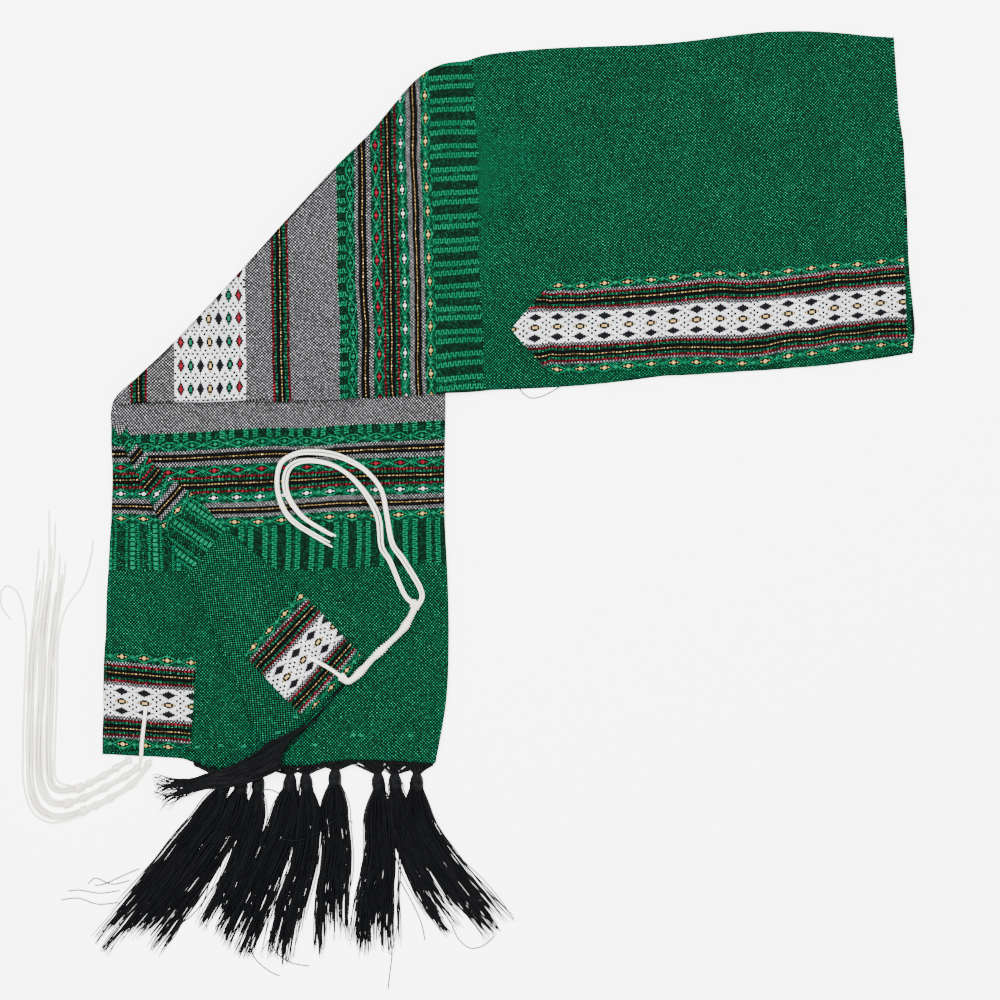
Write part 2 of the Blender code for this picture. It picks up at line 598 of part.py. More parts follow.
def make_cloths(green, white):
    """The stretches of the shawl that show, the neckband and the corner patches."""
    two_folds = lobed_edge(2, 0.9, 0.5)
    selvedges = lobed_edge(ARM_LAYERS, 0.7, 0.9)
    arm_fold = mixed_edge(rounded_edge(5, FOLD_RADIUS, True), two_folds, *FOLD_ENDS)
    fold_nose = [(1.3, 0.85), (2.3, 0.55), (2.8, 0.2)]
    cloth("shawl_upper_arm", ARM_SPANS, ARM_THICK, selvedges, arm_fold, SECTION_POINTS, green,
          ground=under_arm, relief=arm_relief, last_bow=FOLD_BOW, nose=fold_nose)

    stack_left = mixed_edge(lobed_edge(STACK_LAYERS, 0.7, 0.9),
                            rounded_edge(7, STACK_LAYERS * LAYER, False), *STACK_FOLD)
    cloth("shawl_lower_layers", STACK_SPANS, STACK_LAYERS * LAYER, stack_left,
          lobed_edge(2, 0.9, 0.4), SECTION_POINTS, green, relief=lower_relief, first_bow=HEM_BOW)

    thin = rounded_edge(3, 0.35, True)
    cloth("shawl_lower_leaf", LEAF_SPANS, LAYER, thin, thin, SECTION_POINTS, green,
          ground=lower_relief, first_bow=LEAF_BOW)
    cloth("shawl_corner_flap", FLAP_SPANS, LAYER, rounded_edge(3, 0.8, True), thin, 6, green,
          ground=lower_relief)

    cloth("neckband", BAND_SPANS, PATCH, thin, thin, 5, white,
          ground=lambda x, y: on_arm(x, y) + SEAM_GAP)
    cloth("corner_patch_left", PATCH_LEFT_SPANS, PATCH, thin, thin, 4, white,
          ground=lambda x, y: lower_relief(x, y) + LEAF_BASE)
    cloth("corner_patch_flap", PATCH_FLAP_SPANS, PATCH, thin, thin, 4, white,
          ground=lambda x, y: lower_relief(x, y) + FLAP_BASE + LAYER + SEAM_GAP)


def smooth_path(points, count):
    """Evenly numbered points on a smooth curve through hand-placed ones."""
    last = len(points) - 1
    result = []
    for i in range(count):
        position = last * i / (count - 1)
        row = min(int(position), last - 1)
        near = [points[max(0, min(last, row + k))] for k in (-1, 0, 1, 2)]
        result.append(Vector([catmull(*[p[axis] for p in near], position - row)
                              for axis in range(3)]))
    return result


def tube(mesh, centres, radii, sides, flatten=1.0):
    """A closed tube through the centres, a flat cap at each end."""
    loops = []
    for i, centre in enumerate(centres):
        before = centres[max(0, i - 1)]
        after = centres[min(len(centres) - 1, i + 1)]
        ahead = (after - before).normalized()
        side = ahead.cross(Vector((0.0, 0.0, 1.0))).normalized()
        up = side.cross(ahead).normalized()
        loop = []
        for k in range(sides):
            turn = 2.0 * math.pi * (k + 0.25) / sides
            out = side * math.cos(turn) + up * (math.sin(turn) * flatten)
            loop.append(mesh.verts.new((centre + out * radii[i]) * MM))
        loops.append(loop)
    for low, high in zip(loops, loops[1:]):
        for k in range(sides):
            j = (k + 1) % sides
            mesh.faces.new((low[k], low[j], high[j], high[k]))
    mesh.faces.new(loops[0])
    mesh.faces.new(loops[-1])


def fuse(name, backing, strands, material):
    """One body from a backing and the strands rooted in it."""
    for mesh in (backing, strands):
        bmesh.ops.recalc_face_normals(mesh, faces=mesh.faces)
    cutter = keep(name + "_strands", strands, material)
    cutter.hide_render = True
    cutter.display_type = "WIRE"
    body = keep(name, backing, material)
    union = body.modifiers.new("roots", "BOOLEAN")
    union.operation = "UNION"
    union.object = cutter
    return body


def end_line(share):
    """A point on the end of the lower layers, as their section has it, and outwards."""
    span = STACK_SPANS[0]
    across = SECTION_POINTS + 1
    reach = Vector((span.bx - span.ax, span.by - span.ay, 0.0))
    outward = Vector((reach.y, -reach.x, 0.0)).normalized()
    low = math.floor(share * across)
    corners = []
    for step in (low, min(low + 1, across)):
        s = step / across
        corners.append(Vector((span.ax, span.ay, 0.0)) + reach * s
                       + outward * bow_at(HEM_BOW, s))
    return corners[0].lerp(corners[1], share * across - low), outward


def hem_depth(share):
    """Depth of the black hem at a share of the way across."""
    for low, high in zip(HEM_DEPTHS, HEM_DEPTHS[1:]):
        if share <= high.share:
            t = (share - low.share) / (high.share - low.share)
            return low.depth + (high.depth - low.depth) * t
    return HEM_DEPTHS[-1].depth


def hem_ring(near, far, thick):
    """The section of a black hem between the cloth's edge and the fringe."""
    reach = far - near
    return [
        near + Vector((0.0, 0.0, 0.5 * thick)),
        near + reach * 0.12,
        near + reach * 0.85,
        far + Vector((0.0, 0.0, 0.8 * thick)),
        near + reach * 0.8 + Vector((0.0, 0.0, thick)),
        near + reach * 0.15 + Vector((0.0, 0.0, 0.9 * thick)),
    ]


def make_hems(material):
    """Narrow black bands of gathered warp ends, just past the cloth's edges."""
    lift = Vector((0.0, 0.0, SEAM_GAP))
    sides = {"hem_left": [], "hem_right": []}
    for row in HEM_DEPTHS:
        edge, outward = end_line(row.share)
        near = edge + outward * SEAM_GAP + lift
        ring = hem_ring(near, near + outward * row.depth, HEM_THICK)
        if row.share <= HEM_SPLIT:
            aside = Vector((-SEAM_GAP if row.share == HEM_SPLIT else 0.0, 0.0, 0.0))
            sides["hem_left"].append([p + aside for p in ring])
        if row.share >= HEM_SPLIT:
            sides["hem_right"].append(ring)
    for name, rings in sides.items():
        skin(name, rings, material)
    low = FLAP_BASE + FLAP_HEM_LIFT
    skin("hem_flap", [
        hem_ring(Vector((row.ax, row.ay, low)), Vector((row.bx, row.by, low)),
                 FLAP_HEM_THICK)
        for row in FLAP_HEM
    ], material)


def tassel_spread(tassel, share, knot_share):
    """Half-width of a tassel at a share of its length: tied, then fuller, then fanned."""
    full = knot_share + 0.14
    if share < knot_share:
        return TIED_SPREAD
    if share < full:
        rise = (share - knot_share) / (full - knot_share)
        return TIED_SPREAD + (tassel.spread - TIED_SPREAD) * math.sin(math.pi / 2 * rise)
    t = (share - full) / (1.0 - full)
    return tassel.spread + (tassel.tip_spread - tassel.spread) * t


def seat_on_hem(share, ahead):
    """Where a knot starts, so that its end face just clears the hem."""
    edge, outward = end_line(share)
    depth = max(hem_depth(share + aside) for aside in (-0.011, 0.0, 0.011))
    lean = abs(ahead.x)
    clear = KNOT_START * abs(ahead.y) + KNOT_END_RADIUS * lean + SEAM_GAP
    return edge + outward * (SEAM_GAP + depth + clear) + Vector((0.0, 0.0, KNOT_HEIGHT))


def make_tassel(tassel, material):
    """A knotted head, and its locks in two rows that fan out over the floor."""
    points = [Vector(p) for p in tassel.points]
    if tassel.seat:
        edge, _outward = end_line(tassel.seat)
        lead = points[0] - edge
        ahead = Vector((lead.x, lead.y, 0.0)).normalized()
        points.insert(0, seat_on_hem(tassel.seat, ahead))
    path = smooth_path(points, 60)
    start = path[0]
    ahead = (path[3] - path[0]).normalized()
    head = bmesh.new()
    knot = [(-KNOT_START, KNOT_END_RADIUS), (0.0, TASSEL_KNOT * 0.89), (3.0, TASSEL_KNOT),
            (6.5, TASSEL_KNOT * 0.94), (9.5, TASSEL_KNOT * 0.96), (KNOT_LENGTH, TASSEL_KNOT * 0.94)]
    tube(head, [start + ahead * along for along, _ in knot], [r for _, r in knot],
         KNOT_SIDES, 0.92)
    locks = bmesh.new()
    length = sum((b - a).length for a, b in zip(path, path[1:]))
    for row in range(2):
        for column in range(LOCK_COLUMNS):
            number = row * LOCK_COLUMNS + column
            uneven = math.sin(number * 2.3 + length)
            long_lock = tassel.share < 1.0 and number == LOCK_COLUMNS + 3
            reach = 1.0 if long_lock else tassel.share * (0.955 + 0.045 * uneven)
            aside = (column - (LOCK_COLUMNS - 1) / 2) / (LOCK_COLUMNS / 2) + 0.10 * (row - 0.5)
            centres = []
            radii = []
            for step in range(LOCK_STEPS):
                grow = step / (LOCK_STEPS - 1)
                share = LOCK_ROOT / length + (reach - LOCK_ROOT / length) * grow
                spot = min(share, 0.9999) * (len(path) - 1)
                low = int(spot)
                centre = path[low].lerp(path[low + 1], spot - low)
                flow = (path[low + 1] - path[low]).normalized()
                side = flow.cross(Vector((0.0, 0.0, 1.0))).normalized()
                close = min(1.0, max(0.35, share / 0.16))
                half_row = 0.5 * ROW_HEIGHT * max(0.62, close)
                height = (row - 0.5) * 2.0 * half_row
                half_width = tassel_spread(tassel, share, KNOT_LENGTH / length)
                centres.append(centre + side * (aside * half_width)
                               + Vector((0.0, 0.0, height)))
                pitch = 2.0 * half_width / LOCK_COLUMNS
                widest = min(LOCK_WIDTH, pitch * 0.80)
                radii.append(widest / 2 * (0.55 if step == LOCK_STEPS - 1 else 1.0))
            tube(locks, centres, radii, LOCK_SIDES)
    return fuse("fringe_tassel_" + tassel.name, head, locks, material)


def surface_height(place):
    """The height of the face that a string lies on at one place."""
    creased = place.over > ON_FLOOR + 2.0
    return place.over + (lower_relief(place.x, place.y) if creased else 0.0)


def laid_route(places, radius):
    """The middle line of a string or cord that rests on what is under it."""
    return [
        Vector((place.x, place.y, surface_height(place) + SEAM_GAP + radius))
        for place in places
    ]


def string_grid(columns, rows, count):
    """Places of strings in a bunch, as steps aside and up, the lowest row first."""
    places = []
    for row in range(rows):
        for column in range(columns):
            places.append((column - (columns - 1) / 2, row))
    return places[:count]


def add_strings(mesh, route, grid, steps, ends):
    """Strings side by side along one route, each ending at its own share of it."""
    path = smooth_path(laid_route(route, STRING / 2), 90)
    for number, (aside, up) in enumerate(grid):
        reach = ends[number % len(ends)]
        centres = []
        for step in range(steps):
            spot = min(reach * step / (steps - 1), 0.9999) * (len(path) - 1)
            low = int(spot)
            centre = path[low].lerp(path[low + 1], spot - low)
            flow = path[low + 1] - path[low]
            side = flow.normalized().cross(Vector((0.0, 0.0, 1.0))).normalized()
            centres.append(centre + side * (aside * STRING_PITCH)
                           + Vector((0.0, 0.0, up * STRING_PITCH)))
        tube(mesh, centres, [STRING / 2] * steps, STRING_SIDES)


def make_corner_strings(name, cord, bunches, thin_until, material):
    """A wound and knotted cord, and the loose strings fused into its end knot."""
    path = smooth_path(laid_route(cord, 0.0), CORD_STEPS)
    radii = []
    for step in range(CORD_STEPS):
        share = step / (CORD_STEPS - 1)
        if share < thin_until:
            radii.append(CORD_RADIUS * PLAIN_CORD)
            continue
        wound = (share - thin_until) / (1.0 - thin_until)
        knot = abs(math.cos(wound * math.pi * 4.0)) ** 6
        radii.append(CORD_RADIUS + (KNOT_RADIUS - CORD_RADIUS) * knot)
    beyond = (path[-1] - path[-2]).normalized()
    path.append(path[-1] + beyond * END_KNOT_REACH)
    radii[-1] = END_KNOT
    radii.append(END_KNOT * 0.9)
    seated = [spot + Vector((0.0, 0.0, r * CORD_FLAT)) for spot, r in zip(path, radii)]
    backing = bmesh.new()
    tube(backing, seated, radii, CORD_SIDES, CORD_FLAT)
    strings = bmesh.new()
    for route, grid, ends in bunches:
        add_strings(strings, route, grid, STRING_STEPS if len(grid) > 1 else STRAY_STEPS,
                    ends)
    return fuse("corner_strings_" + name, backing, strings, material)


def main():
    """Builds the whole folded shawl."""
    clear_scene()
    green = make_material("woven_green_cloth", CLOTH_GREEN, 0.9)
    white = make_material("woven_patterned_band", PATCH_WHITE, 0.9)
    black = make_material("black_fringe_thread", THREAD_BLACK, 0.75)
    ivory = make_material("ivory_corner_string", STRING_WHITE, 0.8)
    make_cloths(green, white)
    make_hems(black)
    for tassel in TASSELS:
        make_tassel(tassel, black)
    fours = string_grid(2, 2, 4)
    eights = string_grid(3, 3, 8)
    make_corner_strings("flap", FLAP_CORD, [
        (FLAP_STRINGS_INNER, fours, (1.0, 0.985, 0.97, 0.95)),
        (FLAP_STRINGS_OUTER, fours, (0.99, 1.0, 0.82, 0.96)),
    ], 0.30, ivory)
    sevens = string_grid(3, 2, 6) + [(0.0, 2)]
    alone = [(0.0, 0)]
    ends = (1.0, 0.93, 0.97, 0.86, 0.90, 0.80, 0.72, 0.84)
    for name, cord in LEFT_CORDS.items():
        stray = STRAY_STRINGS.get(name)
        bunches = [(LEFT_STRINGS[name], sevens if stray else eights, ends)]
        if stray:
            bunches.append((stray, alone, (1.0,)))
        thin_until = 0.5 if name == "left_1" else 0.05
        make_corner_strings(name, cord, bunches, thin_until, ivory)


main()
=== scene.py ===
# %% [markdown]
# # A folded prayer shawl, laid flat
# The real thing is one long handwoven cloth with a black warp and coloured wefts. It is folded
# lengthwise, then crosswise, and the bundle is turned under on a diagonal. This lesson dresses
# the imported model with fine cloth, a woven pattern, fringe threads and wool strings. The packed
# model gives the frame: everything here is in the same metres.

# %% The frame
import math
import random
from collections import namedtuple

import bmesh
import bpy
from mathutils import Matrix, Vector, noise


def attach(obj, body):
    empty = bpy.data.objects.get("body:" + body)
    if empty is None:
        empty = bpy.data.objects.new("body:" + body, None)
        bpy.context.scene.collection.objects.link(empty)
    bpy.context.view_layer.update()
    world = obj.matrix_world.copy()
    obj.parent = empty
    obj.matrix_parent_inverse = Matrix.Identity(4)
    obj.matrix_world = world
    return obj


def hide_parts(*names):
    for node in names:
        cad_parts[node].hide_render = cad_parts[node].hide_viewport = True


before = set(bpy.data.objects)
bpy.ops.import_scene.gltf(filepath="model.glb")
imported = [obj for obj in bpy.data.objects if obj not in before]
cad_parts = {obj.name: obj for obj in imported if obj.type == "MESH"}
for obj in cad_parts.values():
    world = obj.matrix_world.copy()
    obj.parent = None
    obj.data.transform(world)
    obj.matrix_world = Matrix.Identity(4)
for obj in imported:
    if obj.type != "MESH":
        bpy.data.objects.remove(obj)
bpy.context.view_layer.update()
MM = 0.001
print("nodes to dress:", len(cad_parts))

# %% [markdown]
# The tables below are in millimetres, as a maker would measure the folded cloth. A span is one
# line across the cloth, from edge a to edge b. Short tables of spans are easier to adjust than
# a mesh, and the same spans give the surface, its edges and its weave.

# %% Measures of the cloth
LAYER = 1.2              # one layer of the cloth
SEAM_GAP = 0.3           # between two pieces that lie on each other
PATCH = 1.0              # the neckband and the patches
LEAF_BASE = 3 * LAYER + SEAM_GAP
LEAF_TOP = LEAF_BASE + LAYER
ARM_LIFT = LEAF_TOP + SEAM_GAP
ARM_THICK = 4 * LAYER
FLAP_BASE = LEAF_TOP + SEAM_GAP
FLAP_TOP = FLAP_BASE + LAYER

Span = namedtuple("Span", "ax ay bx by lift", defaults=(0.0,))
Crease = namedtuple("Crease", "x y angle half_length half_width height")
Dip = namedtuple("Dip", "across push")


def table(kind, *rows):
    """Rows of numbers with named columns."""
    return [kind(*row) for row in rows]


def raised(spans, lift):
    """The same spans at another height."""
    return [span._replace(lift=lift) for span in spans]


ARM_SPANS = raised(table(Span,
    (-264, 81.5, -264.3, 88), (-243.5, 83.3, -244.4, 107.4), (-216, 83.6, -217.7, 133.3),
    (-165, 84, -168.6, 186.2), (-128, 84.2, -132.8, 226), (-88, 86, -94.3, 267.4),
    (-58, 87.5, -66, 295.5), (-24, 89.4, -32.6, 334.8), (-3.5, 90.7, -12.5, 347.2),
), ARM_LIFT) + table(Span,
    (17, 91.5, 7, 351.3), (43, 93, 33.5, 357.2), (126, 99.2, 115.4, 361.9),
    (187, 105.2, 175.5, 365.8), (275, 111.3, 261.3, 373.6), (352.5, 120.9, 337.7, 368.9),
)
DIAGONAL_SPANS = table(Span,
    (-268, 84, -8.8, 94), (-243.4, 108.4, -9.4, 118.5), (-216.8, 134.2, -10.5, 143.8),
    (-167.7, 187.2, -12.5, 195), (-132.6, 226.2, -14.2, 232), (-94.4, 267.5, -17.3, 271.5),
    (-66, 295.5, -19.3, 298), (-36, 331, -22, 332.5),
)
STACK_SPANS = table(Span,
    (-276.5, -190.3, -16.5, -197), (-276, -150, -8.3, -150), (-275.3, -111.5, -6.2, -106),
    (-273, -67.1, -6.8, -60), (-270.7, -17.2, -9.2, -9), (-268.8, 20, -9.4, 30),
    (-269.6, 60, -8.8, 70),
) + DIAGONAL_SPANS
LEAF_SPANS = raised(table(Span,
    (-141, -196.5, -16.5, -197), (-160.5, -155, -8.3, -150), (-181.5, -111.5, -6.2, -106),
    (-202, -67.1, -6.8, -60), (-226.5, -17.2, -9.2, -9), (-245.5, 20, -9.4, 30),
    (-262, 58, -8.8, 70),
) + DIAGONAL_SPANS, LEAF_BASE)
FLAP_SPANS = raised(table(Span,
    (-267.5, 67, -262.5, 71), (-247.3, 25, -235.6, 35.9), (-226.2, -17.9, -201.2, 8.6),
    (-210.6, -49.1, -178.6, -15.6), (-179.4, -115.4, -125.6, -59.3),
    (-146.8, -194.8, -70.3, -115.2),
), FLAP_BASE)
print("arm", round(352.5 + 264.0), "mm long, lower arm", round(331.0 + 197.0), "mm long")

# %% [markdown]
# The neckband is a woven strip sewn on the neck edge. It lies in soft waves, because the two
# cloths shrank unequally, so its edges have more stations than a straight strip would need.

# %% Neckband and corner patches
BAND_SPANS = table(Span,
    (43, 139.2, 43, 141.6), (56, 124, 56.5, 158), (73.3, 106.6, 74.1, 176.3),
    (95, 107, 95, 177.6), (113.1, 107.5, 113.1, 180.4), (149.8, 109.3, 149.8, 182.2),
    (168, 110.4, 168, 184), (186.5, 111.2, 186.5, 186.1), (204.5, 111.6, 204.5, 187.2),
    (221.5, 111.6, 221.5, 186.1), (240.5, 112.6, 240.5, 188), (258, 115.9, 258, 189.6),
    (276.5, 118.2, 276.5, 191.1), (295, 122.1, 295, 193.4), (314.5, 123.1, 314.5, 194.5),
    (331.5, 125.5, 331.5, 196.8), (350.5, 126.2, 347.5, 198.3),
)
PATCH_LEFT_SPANS = table(Span,
    (-275.4, -188.4, -207.5, -185), (-275, -150, -205.3, -150), (-273.8, -110.4, -202.8, -114.5),
)
PATCH_FLAP_SPANS = table(Span,
    (-165.5, -112, -123, -61.8), (-143.8, -135.8, -98.2, -87.6), (-119.3, -161, -72, -115.3),
)
print("neckband", round(BAND_SPANS[-1].ax - BAND_SPANS[0].ax), "mm long")

# %% [markdown]
# Creases are the marks of earlier folding: low, soft ridges, each listed with its own
# angle and width. Every layer on one stretch shares them, so the layers never cut each other.

# %% Creases
LOWER_CREASES = table(Crease,
    (-60, -20, 78, 95, 22, 0.45), (-120, 25, 12, 80, 24, 0.40), (-235, -75, 82, 80, 20, 0.35),
    (-45, -150, 20, 60, 22, 0.40), (-90, 190, 50, 70, 26, 0.35), (-50, -165, 38, 62, 5, 0.9),
    (-62, -178, 38, 50, 6, -0.5), (-240, -40, 100, 60, 5, 0.6), (-95, -95, 64, 55, 6, 0.5),
    (-150, -20, -58, 60, 6, 0.5), (-30, 20, 88, 60, 7, 0.5), (-200, -170, 20, 30, 6, 0.7),
    (-220, 25, -50, 30, 5, 0.6),
)
ARM_CREASES = table(Crease,
    (60, 250, 70, 90, 24, 0.50), (175, 290, 28, 100, 26, 0.55), (290, 260, -24, 70, 22, 0.60),
    (-60, 180, 62, 90, 26, 0.50), (-150, 120, 24, 60, 22, 0.40), (240, 150, 6, 90, 24, 0.45),
    (285, 335, -38, 60, 5, 1), (318, 285, -72, 55, 5, 0.9), (332, 215, 86, 60, 6, 0.8),
    (300, 225, 24, 45, 7, 0.5), (325, 150, 62, 34, 6, 0.7), (55, 215, 84, 110, 9, 0.5),
    (150, 225, -14, 90, 9, 0.4), (15, 120, 78, 50, 8, 0.5), (90, 320, 12, 70, 8, 0.4),
    (215, 118, 10, 70, 5, 0.5), (-20, 250, 72, 80, 6, 0.5), (-120, 170, 46, 70, 7, 0.5),
)
FOLD_BOW = table(Dip,
    (0, 0), (0.085, 2.8), (0.28, 1.1), (0.50, 2.3), (0.67, 2.6), (0.72, 0.3), (1, 0),
)
HEM_BOW = table(Dip,
    (0, 0), (0.14, 0.8), (0.235, 1.5), (0.285, 5), (0.335, 10.5), (0.42, 9), (0.58, 4.5),
    (0.73, -2.5), (0.82, -2), (1, 0),
)
LEAF_BOW = table(Dip, (0, 2.5), (0.16, 2), (0.45, -2.3), (0.66, -2), (1, 0))
NO_BOW = table(Dip, (0, 0), (1, 0))


def crease_height(creases, x, y):
    """Height of the creases above the flat cloth, with a slight general unevenness."""
    total = 0.22 * noise.noise(Vector((x * 0.03, y * 0.03, 1.7)))
    total += 0.10 * noise.noise(Vector((x * 0.11, y * 0.11, 5.1)))
    for crease in creases:
        turn = math.radians(crease.angle)
        along = (x - crease.x) * math.cos(turn) + (y - crease.y) * math.sin(turn)
        aside = (y - crease.y) * math.cos(turn) - (x - crease.x) * math.sin(turn)
        spread = (along / crease.half_length) ** 2 + (aside / crease.half_width) ** 2
        if spread < 9.0:
            total += crease.height * math.exp(-spread)
    return max(0.0, total + 0.25)


def lower_relief(x, y):
    return crease_height(LOWER_CREASES, x, y)


def arm_relief(x, y):
    return crease_height(ARM_CREASES, x, y)


def under_arm(x, y):
    """The creases of the lower arm, as far as the upper arm lies on it."""
    return lower_relief(x, y) * min(1.0, max(0.0, (12.0 - x) / 20.0))


print("creases:", len(LOWER_CREASES), "below,", len(ARM_CREASES), "above")

# %% [markdown]
# A laid cloth is skinned: a ring of points goes round the cloth at each station, and the rings
# are joined into one closed shell. The edge profiles make the difference. Where layers are
# stacked, each has its own rounded lip and slips a little out of line. A modifier could round
# a box, but it couldn't give each layer its own edge. The weave map is unrolled past the edge
# by the depth below the top, so the threads turn down over the fold instead of smearing.

# %% Edge profiles
def smooth(p0, p1, p2, p3, t):
    """A point between p1 and p2 on a smooth curve through all four."""
    return 0.5 * (2.0 * p1 + (p2 - p0) * t + (2.0 * p0 - 5.0 * p1 + 4.0 * p2 - p3) * t * t
                  + (3.0 * p1 - p0 - 3.0 * p2 + p3) * t ** 3)


def stacked_edge(layers, depth, slip, lip=5):
    """Lips of stacked layers, as (inset, height) pairs from the floor up."""
    def profile(place):
        points = []
        for layer in range(layers):
            wander = math.sin(place * 0.031 * (1.0 + 0.37 * layer) + 2.1 * layer)
            shift = slip * (0.5 + 0.5 * wander)
            for k in range(lip):
                bulge = math.sin(math.pi * k / lip)
                points.append((shift + depth * (1.0 - bulge), (layer + k / lip) / layers))
        points.append((depth + 0.5 * slip, 1.0))
        return points
    return profile


def rounded_edge(points, radius, upper):
    """One half of a thick fold: its upper or its lower quarter."""
    def profile(_place):
        result = []
        for i in range(points):
            height = i / (points - 1)
            rise = height if upper else 1.0 - height
            result.append((radius * (1.0 - math.sqrt(max(0.0, 1.0 - rise * rise * 0.96))), height))
        return result
    return profile


def thin_edge(_place):
    """The selvedge of a single layer."""
    return [(0.45, 0.0), (0.12, 0.2), (0.0, 0.5), (0.12, 0.8), (0.45, 1.0)]


def mixed_edge(first, second, start, end):
    """A profile that changes from the first to the second along the cloth."""
    def profile(place):
        share = min(1.0, max(0.0, (place - start) / (end - start)))
        return [(a[0] + (b[0] - a[0]) * share, a[1] + (b[1] - a[1]) * share)
                for a, b in zip(first(place), second(place))]
    return profile


print("a four-layer edge has", len(stacked_edge(4, 1.0, 1.4)(0.0)), "points")

# %% Skinning a cloth
noise.seed_set(7)        # so that the weave drifts in the same way each time
NARROW = 24.0            # a cloth narrower than this gets a thinner edge
BOW_REACH = 28.0         # how far from its end a bowed end line is felt


def span_at(spans, position):
    """The span at a fractional row number."""
    last = len(spans) - 1
    row = min(int(position), last - 1)
    t = position - row
    near = [spans[max(0, min(last, row + k))] for k in (-1, 0, 1, 2)]
    edges = [smooth(*[getattr(s, key) for s in near], t) for key in ("ax", "ay", "bx", "by")]
    return Span(*edges, near[1].lift + (near[2].lift - near[1].lift) * t)


def square_to(heading):
    """Level, and square to a heading on its right side."""
    return Vector((heading.y, -heading.x, 0.0)).normalized()


def put_in_scene(name, data):
    """A new object at the origin of the scene."""
    thing = bpy.data.objects.new(name, data)
    bpy.context.scene.collection.objects.link(thing)
    return thing


def bow_at(dips, across):
    """How far an uneven end line is pushed out at a share of the way across."""
    for low, high in zip(dips, dips[1:]):
        if across <= high.across:
            t = (across - low.across) / (high.across - low.across)
            return low.push + (high.push - low.push) * t * t * (3.0 - 2.0 * t)
    return dips[-1].push


def stations(spans, step):
    """Fractional row numbers, about every step millimetres."""
    positions = []
    for row, (here, there) in enumerate(zip(spans, spans[1:])):
        run = max(math.hypot(there.ax - here.ax, there.ay - here.ay),
                  math.hypot(there.bx - here.bx, there.by - here.by))
        count = max(1, math.ceil(run / step))
        positions += [row + i / count for i in range(count)]
    return positions + [len(spans) - 1.0]


def close_end(faces, first, across, size):
    """Faces over an end ring: strips from the under side to the top, then both edges."""
    side = (size - 2 * across) // 2
    under = [first + i for i in range(across)]
    edge_b = [first + across + i for i in range(side)]
    top = [first + across + side + i for i in range(across)][::-1]
    edge_a = [first + 2 * across + side + i for i in range(side)]
    for i in range(across - 1):
        faces.append((under[i], under[i + 1], top[i + 1], top[i]))
    faces.append([under[-1]] + edge_b + [top[-1]])
    faces.append([top[0]] + edge_a + [under[0]])


def lay_cloth(name, spans, thick, edges, across, weave, ground, relief, bows=(NO_BOW, NO_BOW),
              nose=(), step=4.0):
    """A stretch of cloth as one closed shell, with a weave map in flat-cloth metres."""
    ends = (spans[0], spans[-1])
    travel = Vector((ends[1].ax + ends[1].bx - ends[0].ax - ends[0].bx,
                     ends[1].ay + ends[1].by - ends[0].ay - ends[0].by, 0.0))
    points = []
    chart = []
    size = 0
    run = 0.0
    before = None
    for position in stations(spans, step):
        span = span_at(spans, position)
        start = Vector((span.ax, span.ay, 0.0))
        reach = Vector((span.bx, span.by, 0.0)) - start
        middle = start + reach * 0.5
        run += (middle - before).length if before else 0.0
        before = middle
        width = reach.length
        shrink = min(1.0, width / NARROW)
        from_first = math.hypot(span.ax - ends[0].ax, span.ay - ends[0].ay)
        from_last = math.hypot(span.ax - ends[1].ax, span.ay - ends[1].ay)
        first_near = from_first < from_last
        bow = bows[0] if first_near else bows[1]
        square = square_to(reach)
        square *= 1.0 if square.dot(travel) > 0.0 else -1.0
        fade = math.exp(-(min(from_first, from_last) / BOW_REACH) ** 2)
        push = square * (-fade if first_near else fade)
        shares = [(i + 1) / (across + 1) for i in range(across)]
        ring = [(s, 0.0, 0.0) for s in shares]
        ring += [(1.0, inset * shrink, height) for inset, height in edges[1](from_first)]
        ring += [(s, 0.0, 1.0) for s in reversed(shares)]
        ring += [(0.0, inset * shrink, h) for inset, h in reversed(edges[0](from_first))]
        size = len(ring)
        for share, inset, height in ring:
            slide = share + (inset if share < 0.5 else -inset) / width
            spot = start + reach * slide + push * bow_at(bow, share)
            floor = span.lift + ground(spot.x, spot.y)
            z = floor + height * (thick + relief(spot.x, spot.y))
            points.append(Vector((spot.x, spot.y, z)))
            past_edge = (share >= 1.0) - (share <= 0.0)
            unrolled = spot + reach.normalized() * past_edge * (1.0 - height) * thick
            u, v = weave(unrolled.x, unrolled.y, slide, run)
            drift = noise.noise_vector(Vector((spot.x * 0.021, spot.y * 0.021, 3.3))) * 1.5
            drift += noise.noise_vector(Vector((spot.x * 0.07, spot.y * 0.07, 8.1))) * 0.45
            chart.append((u + drift.x, v + drift.y))
    last = points[-size:]
    middle_z = sum(p.z for p in last) / size
    for out, squeeze in nose:
        points += [Vector((p.x, p.y, middle_z + (p.z - middle_z) * squeeze)) + square * out
                   for p in last]
        chart += chart[-size:]
    faces = []
    for low in range(0, len(points) - size, size):
        for i in range(size):
            j = (i + 1) % size
            faces.append((low + i, low + j, low + size + j, low + size + i))
    close_end(faces, 0, across, size)
    close_end(faces, len(points) - size, across, size)
    return shell(name, points, faces, chart)


def shell(name, points, faces, chart):
    """A mesh object at the origin, faces outwards, with its weave map."""
    data = bpy.data.meshes.new(name)
    data.from_pydata([p * MM for p in points], [], faces)
    mesh = bmesh.new()
    mesh.from_mesh(data)
    bmesh.ops.recalc_face_normals(mesh, faces=mesh.faces)
    mesh.to_mesh(data)
    mesh.free()
    layer = data.uv_layers.new(name="weave")
    for loop in data.loops:
        u, v = chart[loop.vertex_index]
        layer.data[loop.index].uv = (u * MM, v * MM)
    data.shade_smooth()
    thing = put_in_scene(name, data)
    print(name, len(points), "points,", len(faces), "faces")
    return thing


